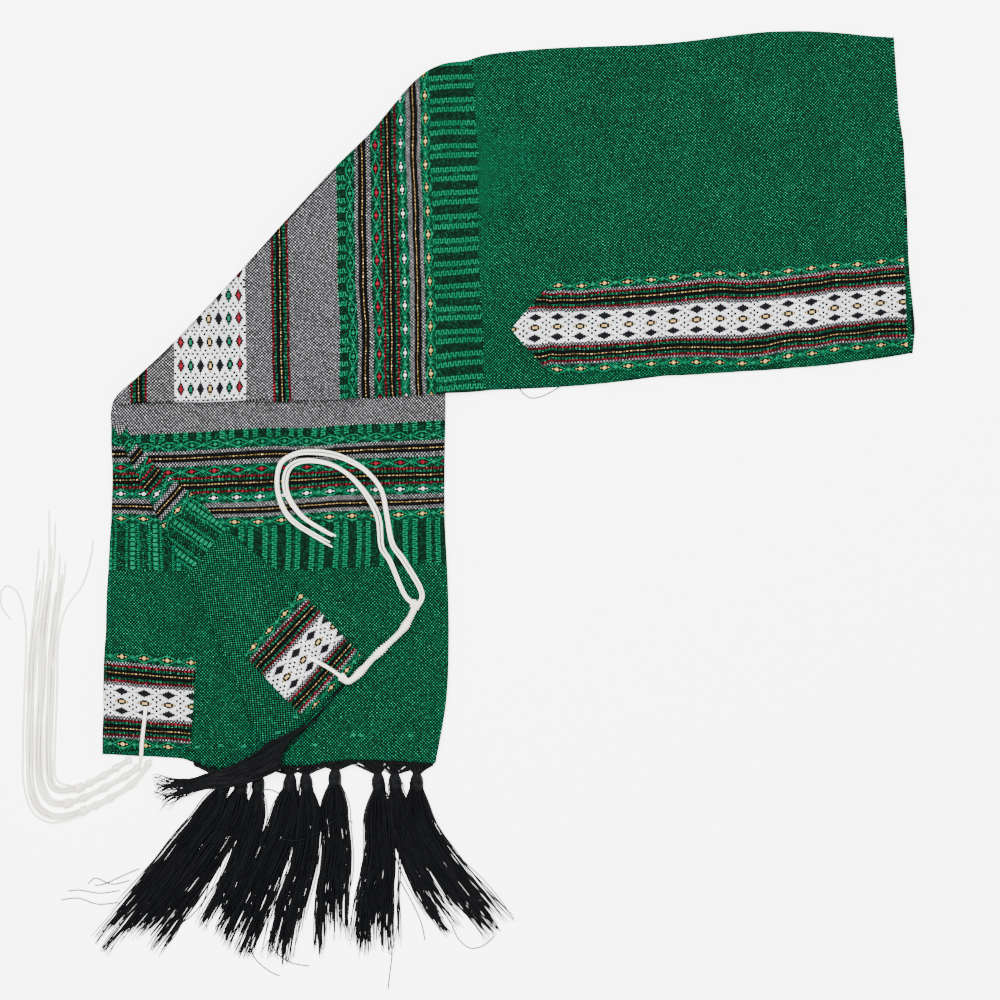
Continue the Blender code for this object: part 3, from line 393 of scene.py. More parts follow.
# %% [markdown]
# Where a thread of the weave runs on the folded cloth is a matter of unfolding. Each function
# below takes a place on the folded cloth and gives its place on the flat one: across the
# cloth, and along it from the middle of the wide white band. The folded corner is unfolded by
# mirroring it over its fold.

# %% Unfolding
ARM_SLANT = [(-271.0, -1.6), (-191.0, 0.0), (-154.0, 1.5), (-122.0, 3.9), (-91.0, 6.4),
             (-21.0, 11.7), (49.0, 17.2), (190.0, 28.9), (346.0, 42.9), (370.0, 45.0)]
CORNER_FOLD = (Vector((-271.4, 78.0)), Vector((0.432, -0.902)))


def slant_at(x):
    """How far the weft has climbed along the upper arm."""
    for (x0, g0), (x1, g1) in zip(ARM_SLANT, ARM_SLANT[1:]):
        if x <= x1:
            return g0 + (g1 - g0) * max(0.0, (x - x0) / (x1 - x0))
    return ARM_SLANT[-1][1]


def arm_weave(x, y, _share, _run):
    rise = y - 93.6
    return 166.1 - y + slant_at(x), (x + 191.3 + 0.007 * rise) / (1.0 - 0.000115 * rise)


def leaf_weave(x, y, _share=0.0, _run=0.0):
    lean = 0.05 * min(1.0, max(0.0, 1.0 - (x + 200.5) / 187.0))
    return x + 224.6 + lean * (29.6 - y), 170.7 - y + 0.0442 * x


def stack_weave(x, y, _share, _run):
    return x + 261.0, 165.3 - y


def flap_weave(x, y, _share, _run):
    start, fold = CORNER_FOLD
    lead = Vector((x, y)) - start
    mirrored = start + fold * (2.0 * lead.dot(fold)) - lead
    return leaf_weave(mirrored.x, mirrored.y)


def band_weave(x, _y, share, run):
    return run - 36.0, (share - 0.5) * min(72.3, 3.0 + (x - 43.0) * 2.28)


def patch_left_weave(x, y, _share, _run):
    along = y + 150.5 + 0.08 * (x + 241.8)
    return x + 242.1, along / (1.07 if along > 0.0 else 1.0)


def patch_flap_weave(x, y, _share, _run):
    along = (x + 120.2) * 0.733 - (y + 116.1) * 0.68
    return (x + 120.2) * 0.68 + (y + 116.1) * 0.733, along / (1.04 if along < 0.0 else 0.95)


print("the first figure of the wide band lies at", arm_weave(-191.3, 166.1, 0, 0))

# %% [markdown]
# Now the pieces of cloth. The shell of the arm holds four layers, that of the lower layers
# three, and the leaf, the folded corner, the neckband and the patches are one layer each.

# %% The pieces of cloth
def flap_ground(x, y):
    """The folded corner stands up in a soft roll along its fold."""
    start, fold = CORNER_FOLD
    lead = Vector((x, y)) - start
    aside = abs(lead.x * fold.y - lead.y * fold.x)
    return lower_relief(x, y) + 1.4 * math.exp(-(aside / 8.0) ** 2)


def flat_relief(_x, _y):
    return 0.0


def on_arm(x, y):
    return ARM_THICK + arm_relief(x, y) + under_arm(x, y) + SEAM_GAP


def under_left_patch(x, y):
    return lower_relief(x, y) + LEAF_BASE


def on_corner(x, y):
    return flap_ground(x, y) + FLAP_TOP + SEAM_GAP


arm_fold = mixed_edge(rounded_edge(11, 5.0, True), stacked_edge(2, 1.0, 1.2), 232.0, 262.0)
arm = lay_cloth("arm_cloth", ARM_SPANS, ARM_THICK, (stacked_edge(4, 0.7, 2.0), arm_fold), 72,
                arm_weave, under_arm, arm_relief, (NO_BOW, FOLD_BOW),
                [(0.9, 0.93), (1.7, 0.78), (2.3, 0.58), (2.7, 0.34), (2.85, 0.12)])
left_edge = mixed_edge(stacked_edge(3, 0.7, 1.8), rounded_edge(16, 3.6, False), 268.0, 280.0)
stack = lay_cloth("lower_cloth", STACK_SPANS, 3 * LAYER, (left_edge, stacked_edge(2, 0.9, 1.0)), 66,
                  stack_weave, flat_relief, lower_relief, (HEM_BOW, NO_BOW))
leaf = lay_cloth("leaf_cloth", LEAF_SPANS, LAYER, (thin_edge, thin_edge), 62,
                 leaf_weave, lower_relief, flat_relief, (LEAF_BOW, NO_BOW))
flap = lay_cloth("corner_cloth", FLAP_SPANS, LAYER, (rounded_edge(5, 0.9, True), thin_edge), 30,
                 flap_weave, flap_ground, flat_relief, step=3.0)
band = lay_cloth("neckband_cloth", BAND_SPANS, PATCH, (thin_edge, thin_edge), 26,
                 band_weave, on_arm, flat_relief, step=3.0)
patch_left = lay_cloth("patch_left_cloth", PATCH_LEFT_SPANS, PATCH, (thin_edge, thin_edge), 22,
                       patch_left_weave, under_left_patch, flat_relief, step=3.0)
patch_flap = lay_cloth("patch_corner_cloth", PATCH_FLAP_SPANS, PATCH, (thin_edge, thin_edge), 22,
                       patch_flap_weave, on_corner, flat_relief, step=3.0)

# %% [markdown]
# The weave is the heart of this cloth. It could be an image, but a weaver's draft is shorter
# and sharper: it says, pick by pick from the middle of the band, which weft is thrown and which
# figure is picked up. Colour ramps with constant steps hold the draft, 256 picks long, and a
# little arithmetic draws the figures on whole threads, as the loom does.

# %% Numbers in a shader
class Number:
    """A value in a node tree that can be added, multiplied and compared like a number."""

    def __init__(self, tree, socket):
        self.tree = tree
        self.socket = socket

    def join(self, operation, *values):
        node = self.tree.nodes.new("ShaderNodeMath")
        node.operation = operation
        for slot, value in zip(node.inputs, values):
            if isinstance(value, Number):
                self.tree.links.new(value.socket, slot)
            else:
                slot.default_value = value
        return Number(self.tree, node.outputs[0])

    def __rsub__(self, other):
        return self.join("SUBTRACT", other, self)


def joining(operation):
    """A method of Number that is one math node."""
    return lambda number, *others: number.join(operation, number, *others)


MATH_NODES = {
    "__add__": "ADD", "__sub__": "SUBTRACT", "__mul__": "MULTIPLY", "__truediv__": "DIVIDE",
    "__lt__": "LESS_THAN", "__gt__": "GREATER_THAN", "__abs__": "ABSOLUTE", "or_": "MAXIMUM",
    "whole": "FLOOR", "part": "FRACT", "beyond": "FLOORED_MODULO", "to_nearest": "PINGPONG",
    "power": "POWER",
}
for method, operation in MATH_NODES.items():
    setattr(Number, method, joining(operation))
print("numbers in a shader can now be written as sums:", len(MATH_NODES), "ways to join them")

# %% Yarns and the weaver's draft
THREAD = 0.9 * MM        # from one thread to the next in the figures
GROUND_END = 1.20 * MM   # from one warp end to the next in the plain ground
GROUND_PICK = 1.28 * MM  # from one weft pick to the next there
REPEAT = 20              # threads from one figure to the next
HALF_LOZENGE = 4.25      # picks from the middle of a lozenge to its end
PICKS = 256              # picks that a ramp can hold
GROUND_WANDER = 0.35     # how far a thread strays from its place, in threads
FIGURE_WANDER = 0.8
YARN = {                 # colour, and how much of it a single crossing shows
    "green": (0.0, 0.105, 0.046, 0.95), "white": (0.60, 0.60, 0.63, 0.32),
    "red": (0.17, 0.003, 0.012, 0.85), "gold": (0.42, 0.28, 0.09, 0.95),
    "black": (0.002, 0.003, 0.004, 0.50),
}
# Each band of weft: its first pick, its yarn, its figure, the yarn of the figure's eye (where
# there is none, the one before stays) and the pick in the middle of its diamonds.
Pick = namedtuple("Pick", "first weft figure eye centre", defaults=("plain", "", 0))
CLOTH_DRAFT = table(Pick,
    (0, "white", "lozenge", "gold"), (4, "white", "lozenge", "black"),
    (13, "white", "lozenge", "green"), (21, "white", "lozenge", "red"), (31, "white"),
    (54, "red", "dots"), (56, "green", "dots"), (58, "black"), (61, "gold", "dots"),
    (62, "black"), (64, "green", "dots"), (66, "red", "dots"), (68, "white"),
    (111, "green", "wave"), (119, "green", "diamond", "green", 123.5), (128, "white"),
    (131, "black"), (134, "gold", "dots"), (135, "black"), (138, "white"),
    (142, "green", "diamond", "red", 146.5), (151, "red", "dots"), (153, "green", "dots"),
    (155, "black"), (157, "gold", "dots"), (158, "black"), (161, "green", "dots"),
    (163, "red", "dots"), (165, "green", "diamond", "white", 169.5), (174, "white"),
    (178, "black"), (180, "gold", "dots"), (181, "black"), (184, "white"),
    (187, "green", "diamond", "gold", 191.5), (196, "green", "wave"), (236, "green"),
)
BAND_DRAFT = table(Pick,
    (0, "white", "lozenge", "gold"), (4, "white", "lozenge", "black"), (13, "white"),
    (16, "red", "dots"), (18, "green", "dots"), (20, "black"), (23, "gold", "dots"),
    (24, "black"), (26, "green", "dots"), (28, "red", "dots"), (30, "white"),
    (32, "green", "diamond", "gold", 36.5), (41, "green"),
)
FIGURES = {
    "plain": (0.0, 0.0, 0.0, 0.0), "dots": (1.0, 0.0, 0.0, 0.0), "diamond": (0.0, 1.0, 0.0, 0.0),
    "wave": (0.0, 0.0, 1.0, 0.0), "lozenge": (0.0, 0.0, 0.0, 1.0),
}
print("draft:", len(CLOTH_DRAFT), "bands of weft")

# %% Reading the draft
def draft_ramp(tree, place, draft, look_up):
    """A ramp with constant steps: one entry for each pick, so it works as a table."""
    node = tree.nodes.new("ShaderNodeValToRGB")
    node.color_ramp.interpolation = "CONSTANT"
    stops = node.color_ramp.elements
    stops.remove(stops[1])
    before = None
    for row in draft:
        colour = look_up(row)
        if colour in (None, before):
            continue
        stop = stops[0] if before is None else stops.new(max(0.0, (row.first - 0.25) / (PICKS - 1)))
        stop.color = colour
        before = colour
    tree.links.new(place.socket, node.inputs["Fac"])
    return node


def noise_at(tree, vector, scale, detail=2.0):
    """Soft noise over a place in the weave."""
    node = tree.nodes.new("ShaderNodeTexNoise")
    node.inputs["Scale"].default_value = scale
    node.inputs["Detail"].default_value = detail
    tree.links.new(vector, node.inputs["Vector"])
    return node


def two_numbers(tree, socket):
    """The first two parts of a vector."""
    node = tree.nodes.new("ShaderNodeSeparateXYZ")
    tree.links.new(socket, node.inputs[0])
    return Number(tree, node.outputs[0]), Number(tree, node.outputs[1])


def mix_colour(tree, share, first, second):
    """The first colour where share is 0 and the second where it is 1."""
    node = tree.nodes.new("ShaderNodeMix")
    node.data_type = "RGBA"
    for slot, socket in ((0, share.socket), (6, first), (7, second)):
        tree.links.new(socket, node.inputs[slot])
    return node.outputs[2]


def scale_colour(tree, colour, factor):
    """A colour made lighter or darker by a number."""
    node = tree.nodes.new("ShaderNodeVectorMath")
    node.operation = "SCALE"
    tree.links.new(colour, node.inputs[0])
    tree.links.new(factor.socket, node.inputs["Scale"])
    return node.outputs[0]


def plain_finish(name, roughness):
    """A new material with its node tree and its shader."""
    material = bpy.data.materials.new(name)
    material.use_nodes = True
    shader = material.node_tree.nodes["Principled BSDF"]
    shader.inputs["Roughness"].default_value = roughness
    shader.inputs["Specular IOR Level"].default_value = 0.06
    return material, material.node_tree, shader


def add_bump(tree, shader, height, distance, strength):
    """A fine relief on the shader's normal; distance is in millimetres."""
    bump = tree.nodes.new("ShaderNodeBump")
    bump.inputs["Distance"].default_value = distance * MM
    bump.inputs["Strength"].default_value = strength
    tree.links.new(height.socket, bump.inputs["Height"])
    tree.links.new(bump.outputs[0], shader.inputs["Normal"])


print("ramp entries: one for each of", PICKS, "picks")

# %% [markdown]
# Each figure is a rule on whole threads: x counts threads from the middle of a figure, and y
# counts picks from the middle of its band. A weft float covers the warp, and elsewhere the weft
# shows on every other crossing. The same numbers give the bump: a float lies proud.

# %% The woven finish
def figures(x, y, pick, odd, wave_side):
    """Floats and single crossings of the weft in each figure, and where its eye is."""
    ring = x / 8.4 + y / 4.1
    outline = (ring > 0.79) * (ring < 1.09)
    eye = ((x / 2.4 + y / 1.6) < 1.0).or_((abs(x - 3.7) < 0.5) * (y < 0.6))
    between = REPEAT / 2 - x
    knot = (between / 2.6 + y / 1.9) < 1.0
    diamond = eye.or_(outline).or_(knot)
    around = (ring > 1.09) * odd * 0.6
    beat = pick.beyond(4.0)
    if wave_side == "face":
        off = between - 3.9
        inside = abs(off) < 2.1
        turns = ((beat < 1.5) * (off > 1.0)).or_((beat > 2.5) * (off < -1.0))
        wave = inside * (beat.beyond(2.0) < 0.5).or_(turns)
        beside = (1.0 - inside) * odd * ((between < 6.0) * 0.2 + 0.25)
    else:
        inside = between < 2.4
        zigzag = (abs(between - 5.2) < 1.3) * (beat.beyond(2.0) < 0.5)
        wave = (inside * (beat < 2.5)).or_(zigzag)
        beside = (1.0 - inside) * odd * 0.5
    return diamond, around, eye, wave, beside


def lozenges(x, pick):
    """The wide white band: columns of lozenges with small flowers between them."""
    y = (pick + 0.5).to_nearest(HALF_LOZENGE)
    body = (y / 3.4 + x / 7.6) < 1.0
    eye = ((y / 1.7 + x / 3.2) < 1.0).or_((abs(x - 4.5) < 0.6) * (y < 0.6))
    off = HALF_LOZENGE - y
    upright = (x > 9.0) * (off > 1.1) * (off < 2.9)
    level = (x > 6.0) * (x < 8.0) * (off < 1.0)
    petals = upright.or_(level)
    return (1.0 - body.or_(petals)).or_(eye), eye


def yarn_round(number):
    """1 on the crest of a thread and 0 at its sides."""
    side = number.part() * 2.0 - 1.0
    return 1.0 - side * side


def woven_finish(name, draft, wave_side="face"):
    """Cloth woven to a draft, read from the piece's own weave map."""
    material, tree, shader = plain_finish(name, 0.9)
    place = tree.nodes.new("ShaderNodeUVMap")
    place.uv_map = "weave"
    across, along = two_numbers(tree, place.outputs[0])
    loose = noise_at(tree, place.outputs[0], 320.0, 3.0)
    wander_u, wander_v = two_numbers(tree, loose.outputs["Color"])
    ground_u = across / GROUND_END + wander_u * GROUND_WANDER
    ground_v = along / GROUND_PICK + wander_v * GROUND_WANDER
    ground_dot = yarn_round(ground_u) * yarn_round(ground_v)
    ground_dot = ground_dot * (ground_u.whole() + ground_v.whole()).beyond(2.0)
    across = across / THREAD + wander_u * FIGURE_WANDER
    along = abs(along / THREAD + wander_v * FIGURE_WANDER - FIGURE_WANDER / 2)
    end = across.whole()
    pick = along.whole()
    odd = (end + pick).beyond(2.0)
    row = (pick + 0.5) / (PICKS - 1)
    weft = draft_ramp(tree, row, draft, lambda entry: YARN[entry.weft])
    eyes = draft_ramp(tree, row, draft, lambda entry: YARN.get(entry.eye))
    kinds = draft_ramp(tree, row, draft, lambda entry: FIGURES[entry.figure])
    middles = draft_ramp(tree, row, draft, lambda entry: (entry.centre / PICKS,) * 3 + (1.0,))
    split = tree.nodes.new("ShaderNodeSeparateColor")
    tree.links.new(kinds.outputs["Color"], split.inputs[0])
    dots, diamonds, waves = (Number(tree, split.outputs[i]) for i in range(3))
    lozenge = Number(tree, kinds.outputs["Alpha"])
    middle = tree.nodes.new("ShaderNodeSeparateColor")
    tree.links.new(middles.outputs["Color"], middle.inputs[0])
    x = (end + 0.5).to_nearest(REPEAT / 2)
    y = abs(pick + 0.5 - Number(tree, middle.outputs[0]) * PICKS)
    diamond, around, eye, wave, beside = figures(x, y, pick, odd, wave_side)
    flowers, lozenge_eye = lozenges(x, pick)
    plain = 1.0 - (dots + diamonds + waves + lozenge)
    floats = diamonds * diamond + waves * wave + lozenge * flowers
    singles = dots * (end.beyond(3.0) > 0.5) * 0.65 + diamonds * around + waves * beside
    in_eye = diamonds * eye + lozenge * lozenge_eye
    # The cover below is partly how much of each crossing the weft covers and partly painted shade:
    # crest and warp_crest darken every thread towards its sides.
    crest, warp_crest = yarn_round(along), yarn_round(across)
    dot = crest * warp_crest
    shows = Number(tree, weft.outputs["Alpha"])
    cover_and_shade = floats * (crest * 0.45 + 0.55) + singles * (1.0 - floats) * dot * dot * dot
    cover_and_shade = cover_and_shade + plain * ground_dot * ground_dot
    crossing = tree.nodes.new("ShaderNodeCombineXYZ")
    tree.links.new(ground_u.whole().socket, crossing.inputs[0])
    tree.links.new(ground_v.whole().socket, crossing.inputs[1])
    chance = tree.nodes.new("ShaderNodeTexWhiteNoise")
    chance.noise_dimensions = "2D"
    tree.links.new(crossing.outputs[0], chance.inputs["Vector"])
    grain = Number(tree, noise_at(tree, place.outputs[0], 560.0, 1.0).outputs[0]) * 2.0
    # Broad patches of the weft are made lighter and darker.
    broad_patches = Number(tree, noise_at(tree, place.outputs[0], 30.0, 3.0).outputs[0]) * 0.8 + 0.6
    chosen = Number(tree, chance.outputs[0])
    uneven = grain.power(3.0) * (chosen * chosen * 2.2 + 0.22) * shows * 2.7
    even = grain * 0.6 + chosen * 0.4 + 0.2
    ground = grain * grain * (chosen * 1.4 + 1.1) * shows
    light = (uneven + (even - uneven) * floats + (ground - uneven) * plain) * broad_patches
    yarn = mix_colour(tree, in_eye, weft.outputs["Color"], eyes.outputs["Color"])
    lit = scale_colour(tree, yarn, light)
    # Where the weft is down the warp shows, with a faint painted highlight on the crest of each
    # warp end.
    shade = scale_colour(tree, yarn, (warp_crest * 0.02 + 0.012) * shows)
    tree.links.new(mix_colour(tree, cover_and_shade, shade, lit), shader.inputs["Base Color"])
    add_bump(tree, shader, cover_and_shade + (1.0 - cover_and_shade) * warp_crest * 0.3, 0.35, 0.5)
    print(name, len(tree.nodes), "shader nodes")
    return material


cloth_face = woven_finish("woven_cloth_face", CLOTH_DRAFT)
cloth_back = woven_finish("woven_cloth_back", CLOTH_DRAFT, "back")
band_face = woven_finish("woven_neckband", BAND_DRAFT)
for piece, finish in ((arm, cloth_face), (stack, cloth_back), (leaf, cloth_face),
                      (flap, cloth_back), (band, band_face), (patch_left, band_face),
                      (patch_flap, band_face)):
    piece.data.materials.append(finish)

# %% [markdown]
# Threads and strings all follow a line, so one Geometry Nodes tree lays them: lines become
# curves, each point has its own thickness, and a round section is swept along. Modelling each
# thread by hand would be the same work some thousand times over.

# %% The thread tree
def thread_tree():
    """Lines with a thickness at each point become threads."""
    tree = bpy.data.node_groups.new("lay_threads", "GeometryNodeTree")
    for name, kind in (("Lines", "Geometry"), ("Sides", "Int"), ("Finish", "Material")):
        tree.interface.new_socket(name=name, in_out="INPUT", socket_type="NodeSocket" + kind)
    tree.interface.new_socket(name="Threads", in_out="OUTPUT", socket_type="NodeSocketGeometry")

    def step(kind, output, **inputs):
        """One node, its inputs set or linked; gives back the output that goes on."""
        node = tree.nodes.new(kind)
        for name, value in inputs.items():
            slot = node.inputs[name.replace("_", " ")]
            if isinstance(value, bpy.types.NodeSocket):
                tree.links.new(value, slot)
            else:
                slot.default_value = value
        return node.outputs[output]

    given = tree.nodes.new("NodeGroupInput").outputs
    thick = step("GeometryNodeInputNamedAttribute", "Attribute", Name="thick")
    length = step("GeometryNodeSplineParameter", "Length")
    turn = step("GeometryNodeSplineParameter", "Factor")
    line = step("GeometryNodeMeshToCurve", "Curve", Mesh=given["Lines"])
    line = step("GeometryNodeStoreNamedAttribute", "Geometry", Geometry=line, Name="along",
                Value=length)
    ring = step("GeometryNodeCurvePrimitiveCircle", "Curve", Resolution=given["Sides"], Radius=1.0)
    ring = step("GeometryNodeStoreNamedAttribute", "Geometry", Geometry=ring, Name="around",
                Value=turn)
    mesh = step("GeometryNodeCurveToMesh", "Mesh", Curve=line, Profile_Curve=ring, Scale=thick,
                Fill_Caps=True)
    mesh = step("GeometryNodeSetShadeSmooth", "Geometry", Geometry=mesh)
    mesh = step("GeometryNodeRealizeInstances", "Geometry", Geometry=mesh)
    mesh = step("GeometryNodeSetMaterial", "Geometry", Geometry=mesh, Material=given["Finish"])
    tree.links.new(mesh, tree.nodes.new("NodeGroupOutput").inputs["Threads"])
    return tree


THREADS = thread_tree()


def lay_threads(name, lines, finish, sides=4):
    """One mesh from many lines, each a list of points and a list of radii, in millimetres."""
    points = []
    edges = []
    radii = []
    for line, sizes in lines:
        first = len(points)
        points += [p * MM for p in line]
        edges += [(first + i, first + i + 1) for i in range(len(line) - 1)]
        radii += [r * MM for r in sizes]
    data = bpy.data.meshes.new(name + "_lines")
    data.from_pydata(points, edges, [])
    data.attributes.new("thick", "FLOAT", "POINT").data.foreach_set("value", radii)
    thing = put_in_scene(name, data)
    layer = thing.modifiers.new("threads", "NODES")
    layer.node_group = THREADS
    values = {"Sides": sides, "Finish": finish}
    for socket in THREADS.interface.items_tree:
        if socket.in_out == "INPUT" and socket.name in values:
            layer[socket.identifier] = values[socket.name]
    graph = bpy.context.evaluated_depsgraph_get()
    made = bpy.data.meshes.new_from_object(thing.evaluated_get(graph))
    thing.modifiers.clear()
    thing.data = made
    bpy.data.meshes.remove(data)
    made.name = name
    print(name, len(lines), "threads,", len(made.polygons), "faces")
    return thing


# %% [markdown]
# Fringe thread is smooth and black with a soft gloss along its length. The wool of the corner
# strings is spun from two plies, so its finish has a slanting furrow.

# %% Thread finishes
def attribute(tree, name):
    """A number that the thread tree has stored on its mesh."""
    node = tree.nodes.new("ShaderNodeAttribute")
    node.attribute_name = name
    return Number(tree, node.outputs["Fac"])


def thread_finish(name, colour, roughness, pitch, depth, vary):
    """Twisted yarn: the furrow between its plies turns round it as it runs along, and painted shade
    darkens the colour in it.
    """
    material, tree, shader = plain_finish(name, roughness)
    turn = attribute(tree, "along") / (pitch * MM) + attribute(tree, "around") * 2.0
    furrow = abs(turn.part() * 2.0 - 1.0)
    space = tree.nodes.new("ShaderNodeTexCoord")
    cloud = noise_at(tree, space.outputs["Object"], 260.0, 3.0)
    # Random tone from the cloud, plus painted shade: the colour is darker in the furrow between the
    # plies.
    tone_and_furrow_shade = Number(tree, cloud.outputs[0]) * vary + furrow * 0.12 + (0.94 - vary / 2)
    base = tree.nodes.new("ShaderNodeRGB")
    base.outputs[0].default_value = (*colour, 1.0)
    tree.links.new(scale_colour(tree, base.outputs[0], tone_and_furrow_shade), shader.inputs["Base Color"])
    add_bump(tree, shader, furrow, depth, 0.7)
    return material


black_thread = thread_finish("black_fringe_thread", (0.002, 0.0022, 0.0028), 0.5, 1.2, 0.05, 0.5)
ivory_wool = thread_finish("ivory_wool_string", (0.80, 0.775, 0.70), 0.8, 3.4, 0.25, 0.10)
green_thread = thread_finish("green_sewing_thread", (0.0, 0.07, 0.03), 0.7, 1.0, 0.05, 0.3)
bright_thread = thread_finish("bright_green_thread", (0.005, 0.16, 0.08), 0.7, 1.0, 0.05, 0.3)
print("thread finishes: black, ivory, green, bright green")

# %% [markdown]
# A tassel is a bunch of loose warp ends tied in one overhand knot. Its threads leave the knot
# together, swell, and fan out towards frayed tips. Every thread gets its own place in the
# bunch, its own length and its own slight wave, from a fixed seed, so that it always lies the
# same way.

# %% Tassels
Tassel = namedtuple("Tassel", "name points spread tip count")
TASSELS = table(Tassel,
    ("left_1", [(-179.5, -211.4), (-193, -236), (-215, -265.5), (-240, -299),
               (-274, -339)], 9, 13, 150),
    ("left_2", [(-167, -210.8), (-175.5, -240), (-194.5, -272), (-220.5, -306.5),
               (-247, -338.5)], 9.5, 13, 150),
    ("left_3", [(-154.2, -209.5), (-158, -239), (-168, -270), (-180.5, -300.5),
               (-195.5, -328)], 8.5, 11, 120),
    ("middle_1", [(-129.7, -207.9), (-132, -237), (-143, -268), (-158.5, -304),
                 (-177, -344.5)], 10, 15, 160),
    ("middle_2", [(-117.7, -207.9), (-115.4, -243), (-120, -277), (-131, -312),
                 (-139.5, -351.5)], 9.5, 13, 140),
    ("middle_3", [(-94.7, -204.1), (-96.7, -234), (-94.6, -265), (-99, -300),
                 (-100.5, -344.5)], 10.5, 12.5, 150),
    ("right_1", [(-61.5, -207.5), (-60.5, -241), (-59.5, -272), (-63.5, -306),
                (-65, -344)], 11, 16, 170),
    ("right_2", [(-48.5, -207.6), (-44.5, -239), (-35, -265), (-19.5, -296),
                (3.5, -327)], 8.5, 12, 130),
    ("right_3", [(-31.3, -207.5), (-29, -236), (-16, -263.5), (6, -294.5),
                (34, -327)], 8.5, 13, 140),
)
TASSEL_HEIGHTS = (4.5, 4.2, 3.6, 3.4, 3.0)
HAIR = 0.42              # radius of a fringe thread
KNOT = 13.0              # length of a tassel's knot
TIED = 4.0               # half the width of a tassel inside its knot
LOCKS = 9                # locks into which a tassel parts
KNOT_STRANDS = 34
KNOT_TURNS = 12


def smooth_path(points, count):
    """Points on a smooth curve through given ones."""
    last = len(points) - 1
    result = []
    for i in range(count):
        position = last * i / (count - 1)
        row = min(int(position), last - 1)
        near = [points[max(0, min(last, row + k))] for k in (-1, 0, 1, 2)]
        result.append(Vector([smooth(*[p[axis] for p in near], position - row)
                              for axis in range(3)]))
    return result


def path_at(path, share):
    """The place and the heading at a share of a path."""
    spot = min(max(share, 0.0), 0.9999) * (len(path) - 1)
    low = int(spot)
    ahead = (path[low + 1] - path[low]).normalized()
    return path[low].lerp(path[low + 1], spot - low) + ahead * max(0.0, share - 1.0) * 100.0, ahead


def bunch_width(share, tied_until, spread, tip):
    """Half the width of a tassel at a share of its length."""
    if share < tied_until:
        return TIED
    full = tied_until + 0.16
    if share < full:
        opening = (share - tied_until) / (full - tied_until)
        return TIED + (spread - TIED) * math.sin(math.pi / 2 * opening)
    return spread + (tip - spread) * ((share - full) / (1.0 - full)) ** 1.5


def bunch_lines(path, count, spread, tip, tied_until, seed):
    """The threads of one tassel, in locks that part towards the tips."""
    dice = random.Random(seed)
    locks = [((k - 4.0) / 4.6 + dice.uniform(-0.12, 0.12), dice.uniform(0.80, 1.03),
              dice.uniform(1.5, 4.5), dice.uniform(0.0, 6.3), dice.uniform(-1.0, 1.0))
             for k in range(LOCKS)]
    lines = []
    steps = 18
    for number in range(count):
        centre, lock_end, lock_beat, lock_phase, lock_level = locks[dice.randrange(LOCKS)]
        stray = number % 8 == 0
        aside = centre + dice.gauss(0.0, 0.19)
        level = 0.5 * lock_level + dice.uniform(-0.7, 0.7)
        end = lock_end + dice.uniform(-0.10, 0.04)
        swing = dice.uniform(-1.0, 1.0) * (6.5 if stray else 1.8)
        curl = dice.uniform(1.2, 3.4) if stray else dice.uniform(0.3, 1.3)
        beat = dice.uniform(8.0, 19.0)
        phase = dice.uniform(0.0, 6.3)
        line = []
        for step in range(steps):
            share = end * (step / (steps - 1)) + tied_until * 0.5 * (1 - step / (steps - 1))
            spot, ahead = path_at(path, share)
            side = square_to(ahead)
            width = bunch_width(share, tied_until, spread, tip)
            loose = max(0.0, share - tied_until) ** 1.5
            sway = swing * loose ** 1.6 + 3.2 * loose * math.sin(lock_beat * share + lock_phase)
            sway += (0.25 + curl * loose) * math.sin(beat * share + phase)
            place = spot + side * (aside * width + sway)
            place += ahead * (curl * loose * math.cos(beat * 0.8 * share + phase))
            line.append(Vector((place.x, place.y, max(0.6, spot.z + level * (3.0 - 0.9 * share)))))
        lines.append((line, [HAIR] * (steps - 2) + [HAIR * 0.9, HAIR * 0.5]))
    return lines


def knot_lines(start, ahead, radius, seed):
    """The knot: strands that turn as they pass, and the loop that binds them."""
    dice = random.Random(seed)
    side = square_to(ahead)
    up = Vector((0.0, 0.0, 1.0))
    lines = []
    for number in range(KNOT_STRANDS):
        turn = 2.0 * math.pi * number / KNOT_STRANDS
        line = []
        for step in range(9):
            t = step / 8
            bulge = radius * (0.62 + 0.42 * math.sin(math.pi * min(1.0, t * 1.15)))
            angle = turn + 1.7 * t
            line.append(start + ahead * (KNOT * t - 2.0)
                        + (side * math.cos(angle) + up * 0.92 * math.sin(angle)) * bulge)
        lines.append((line, [0.62] * 9))
    middle = (KNOT_TURNS - 1) / 2
    for number in range(KNOT_TURNS):
        across = (number - middle) / middle
        line = []
        for step in range(17):
            angle = 2.0 * math.pi * step / 16
            ring = radius * (1.10 - 0.16 * across * across) + dice.uniform(-0.05, 0.05)
            tilt = 1.7 * math.sin(angle)
            line.append(start + ahead * (KNOT * 0.42 + across * 2.6 + tilt)
                        + (side * math.cos(angle) + up * 0.92 * math.sin(angle)) * ring)
        lines.append((line, [0.5] * 17))
    return lines


def above_floor(lines):
    """Lifts whatever would dip into the floor."""
    return [([Vector((p.x, p.y, max(p.z, 0.25 + r))) for p, r in zip(line, sizes)], sizes)
            for line, sizes in lines]


tassel_pieces = {}
for number, tassel in enumerate(TASSELS):
    path = smooth_path([Vector((*p, z)) for p, z in zip(tassel.points, TASSEL_HEIGHTS)], 60)
    length = sum((b - a).length for a, b in zip(path, path[1:]))
    lines = bunch_lines(path, tassel.count, tassel.spread, tassel.tip, KNOT / length, 11 + number)
    heading = (path[3] - path[0]).normalized()
    lines += knot_lines(path[0], heading, 4.4, 31 + number)
    tassel_pieces[tassel.name] = lay_threads("threads_" + tassel.name, above_floor(lines),
                                             black_thread)

# %% [markdown]
# The folded corner has its own share of the fringe. Its threads leave the corner's end in a
# broad sheaf, sweep to the left over the lower layers and drop to the floor past their edge.

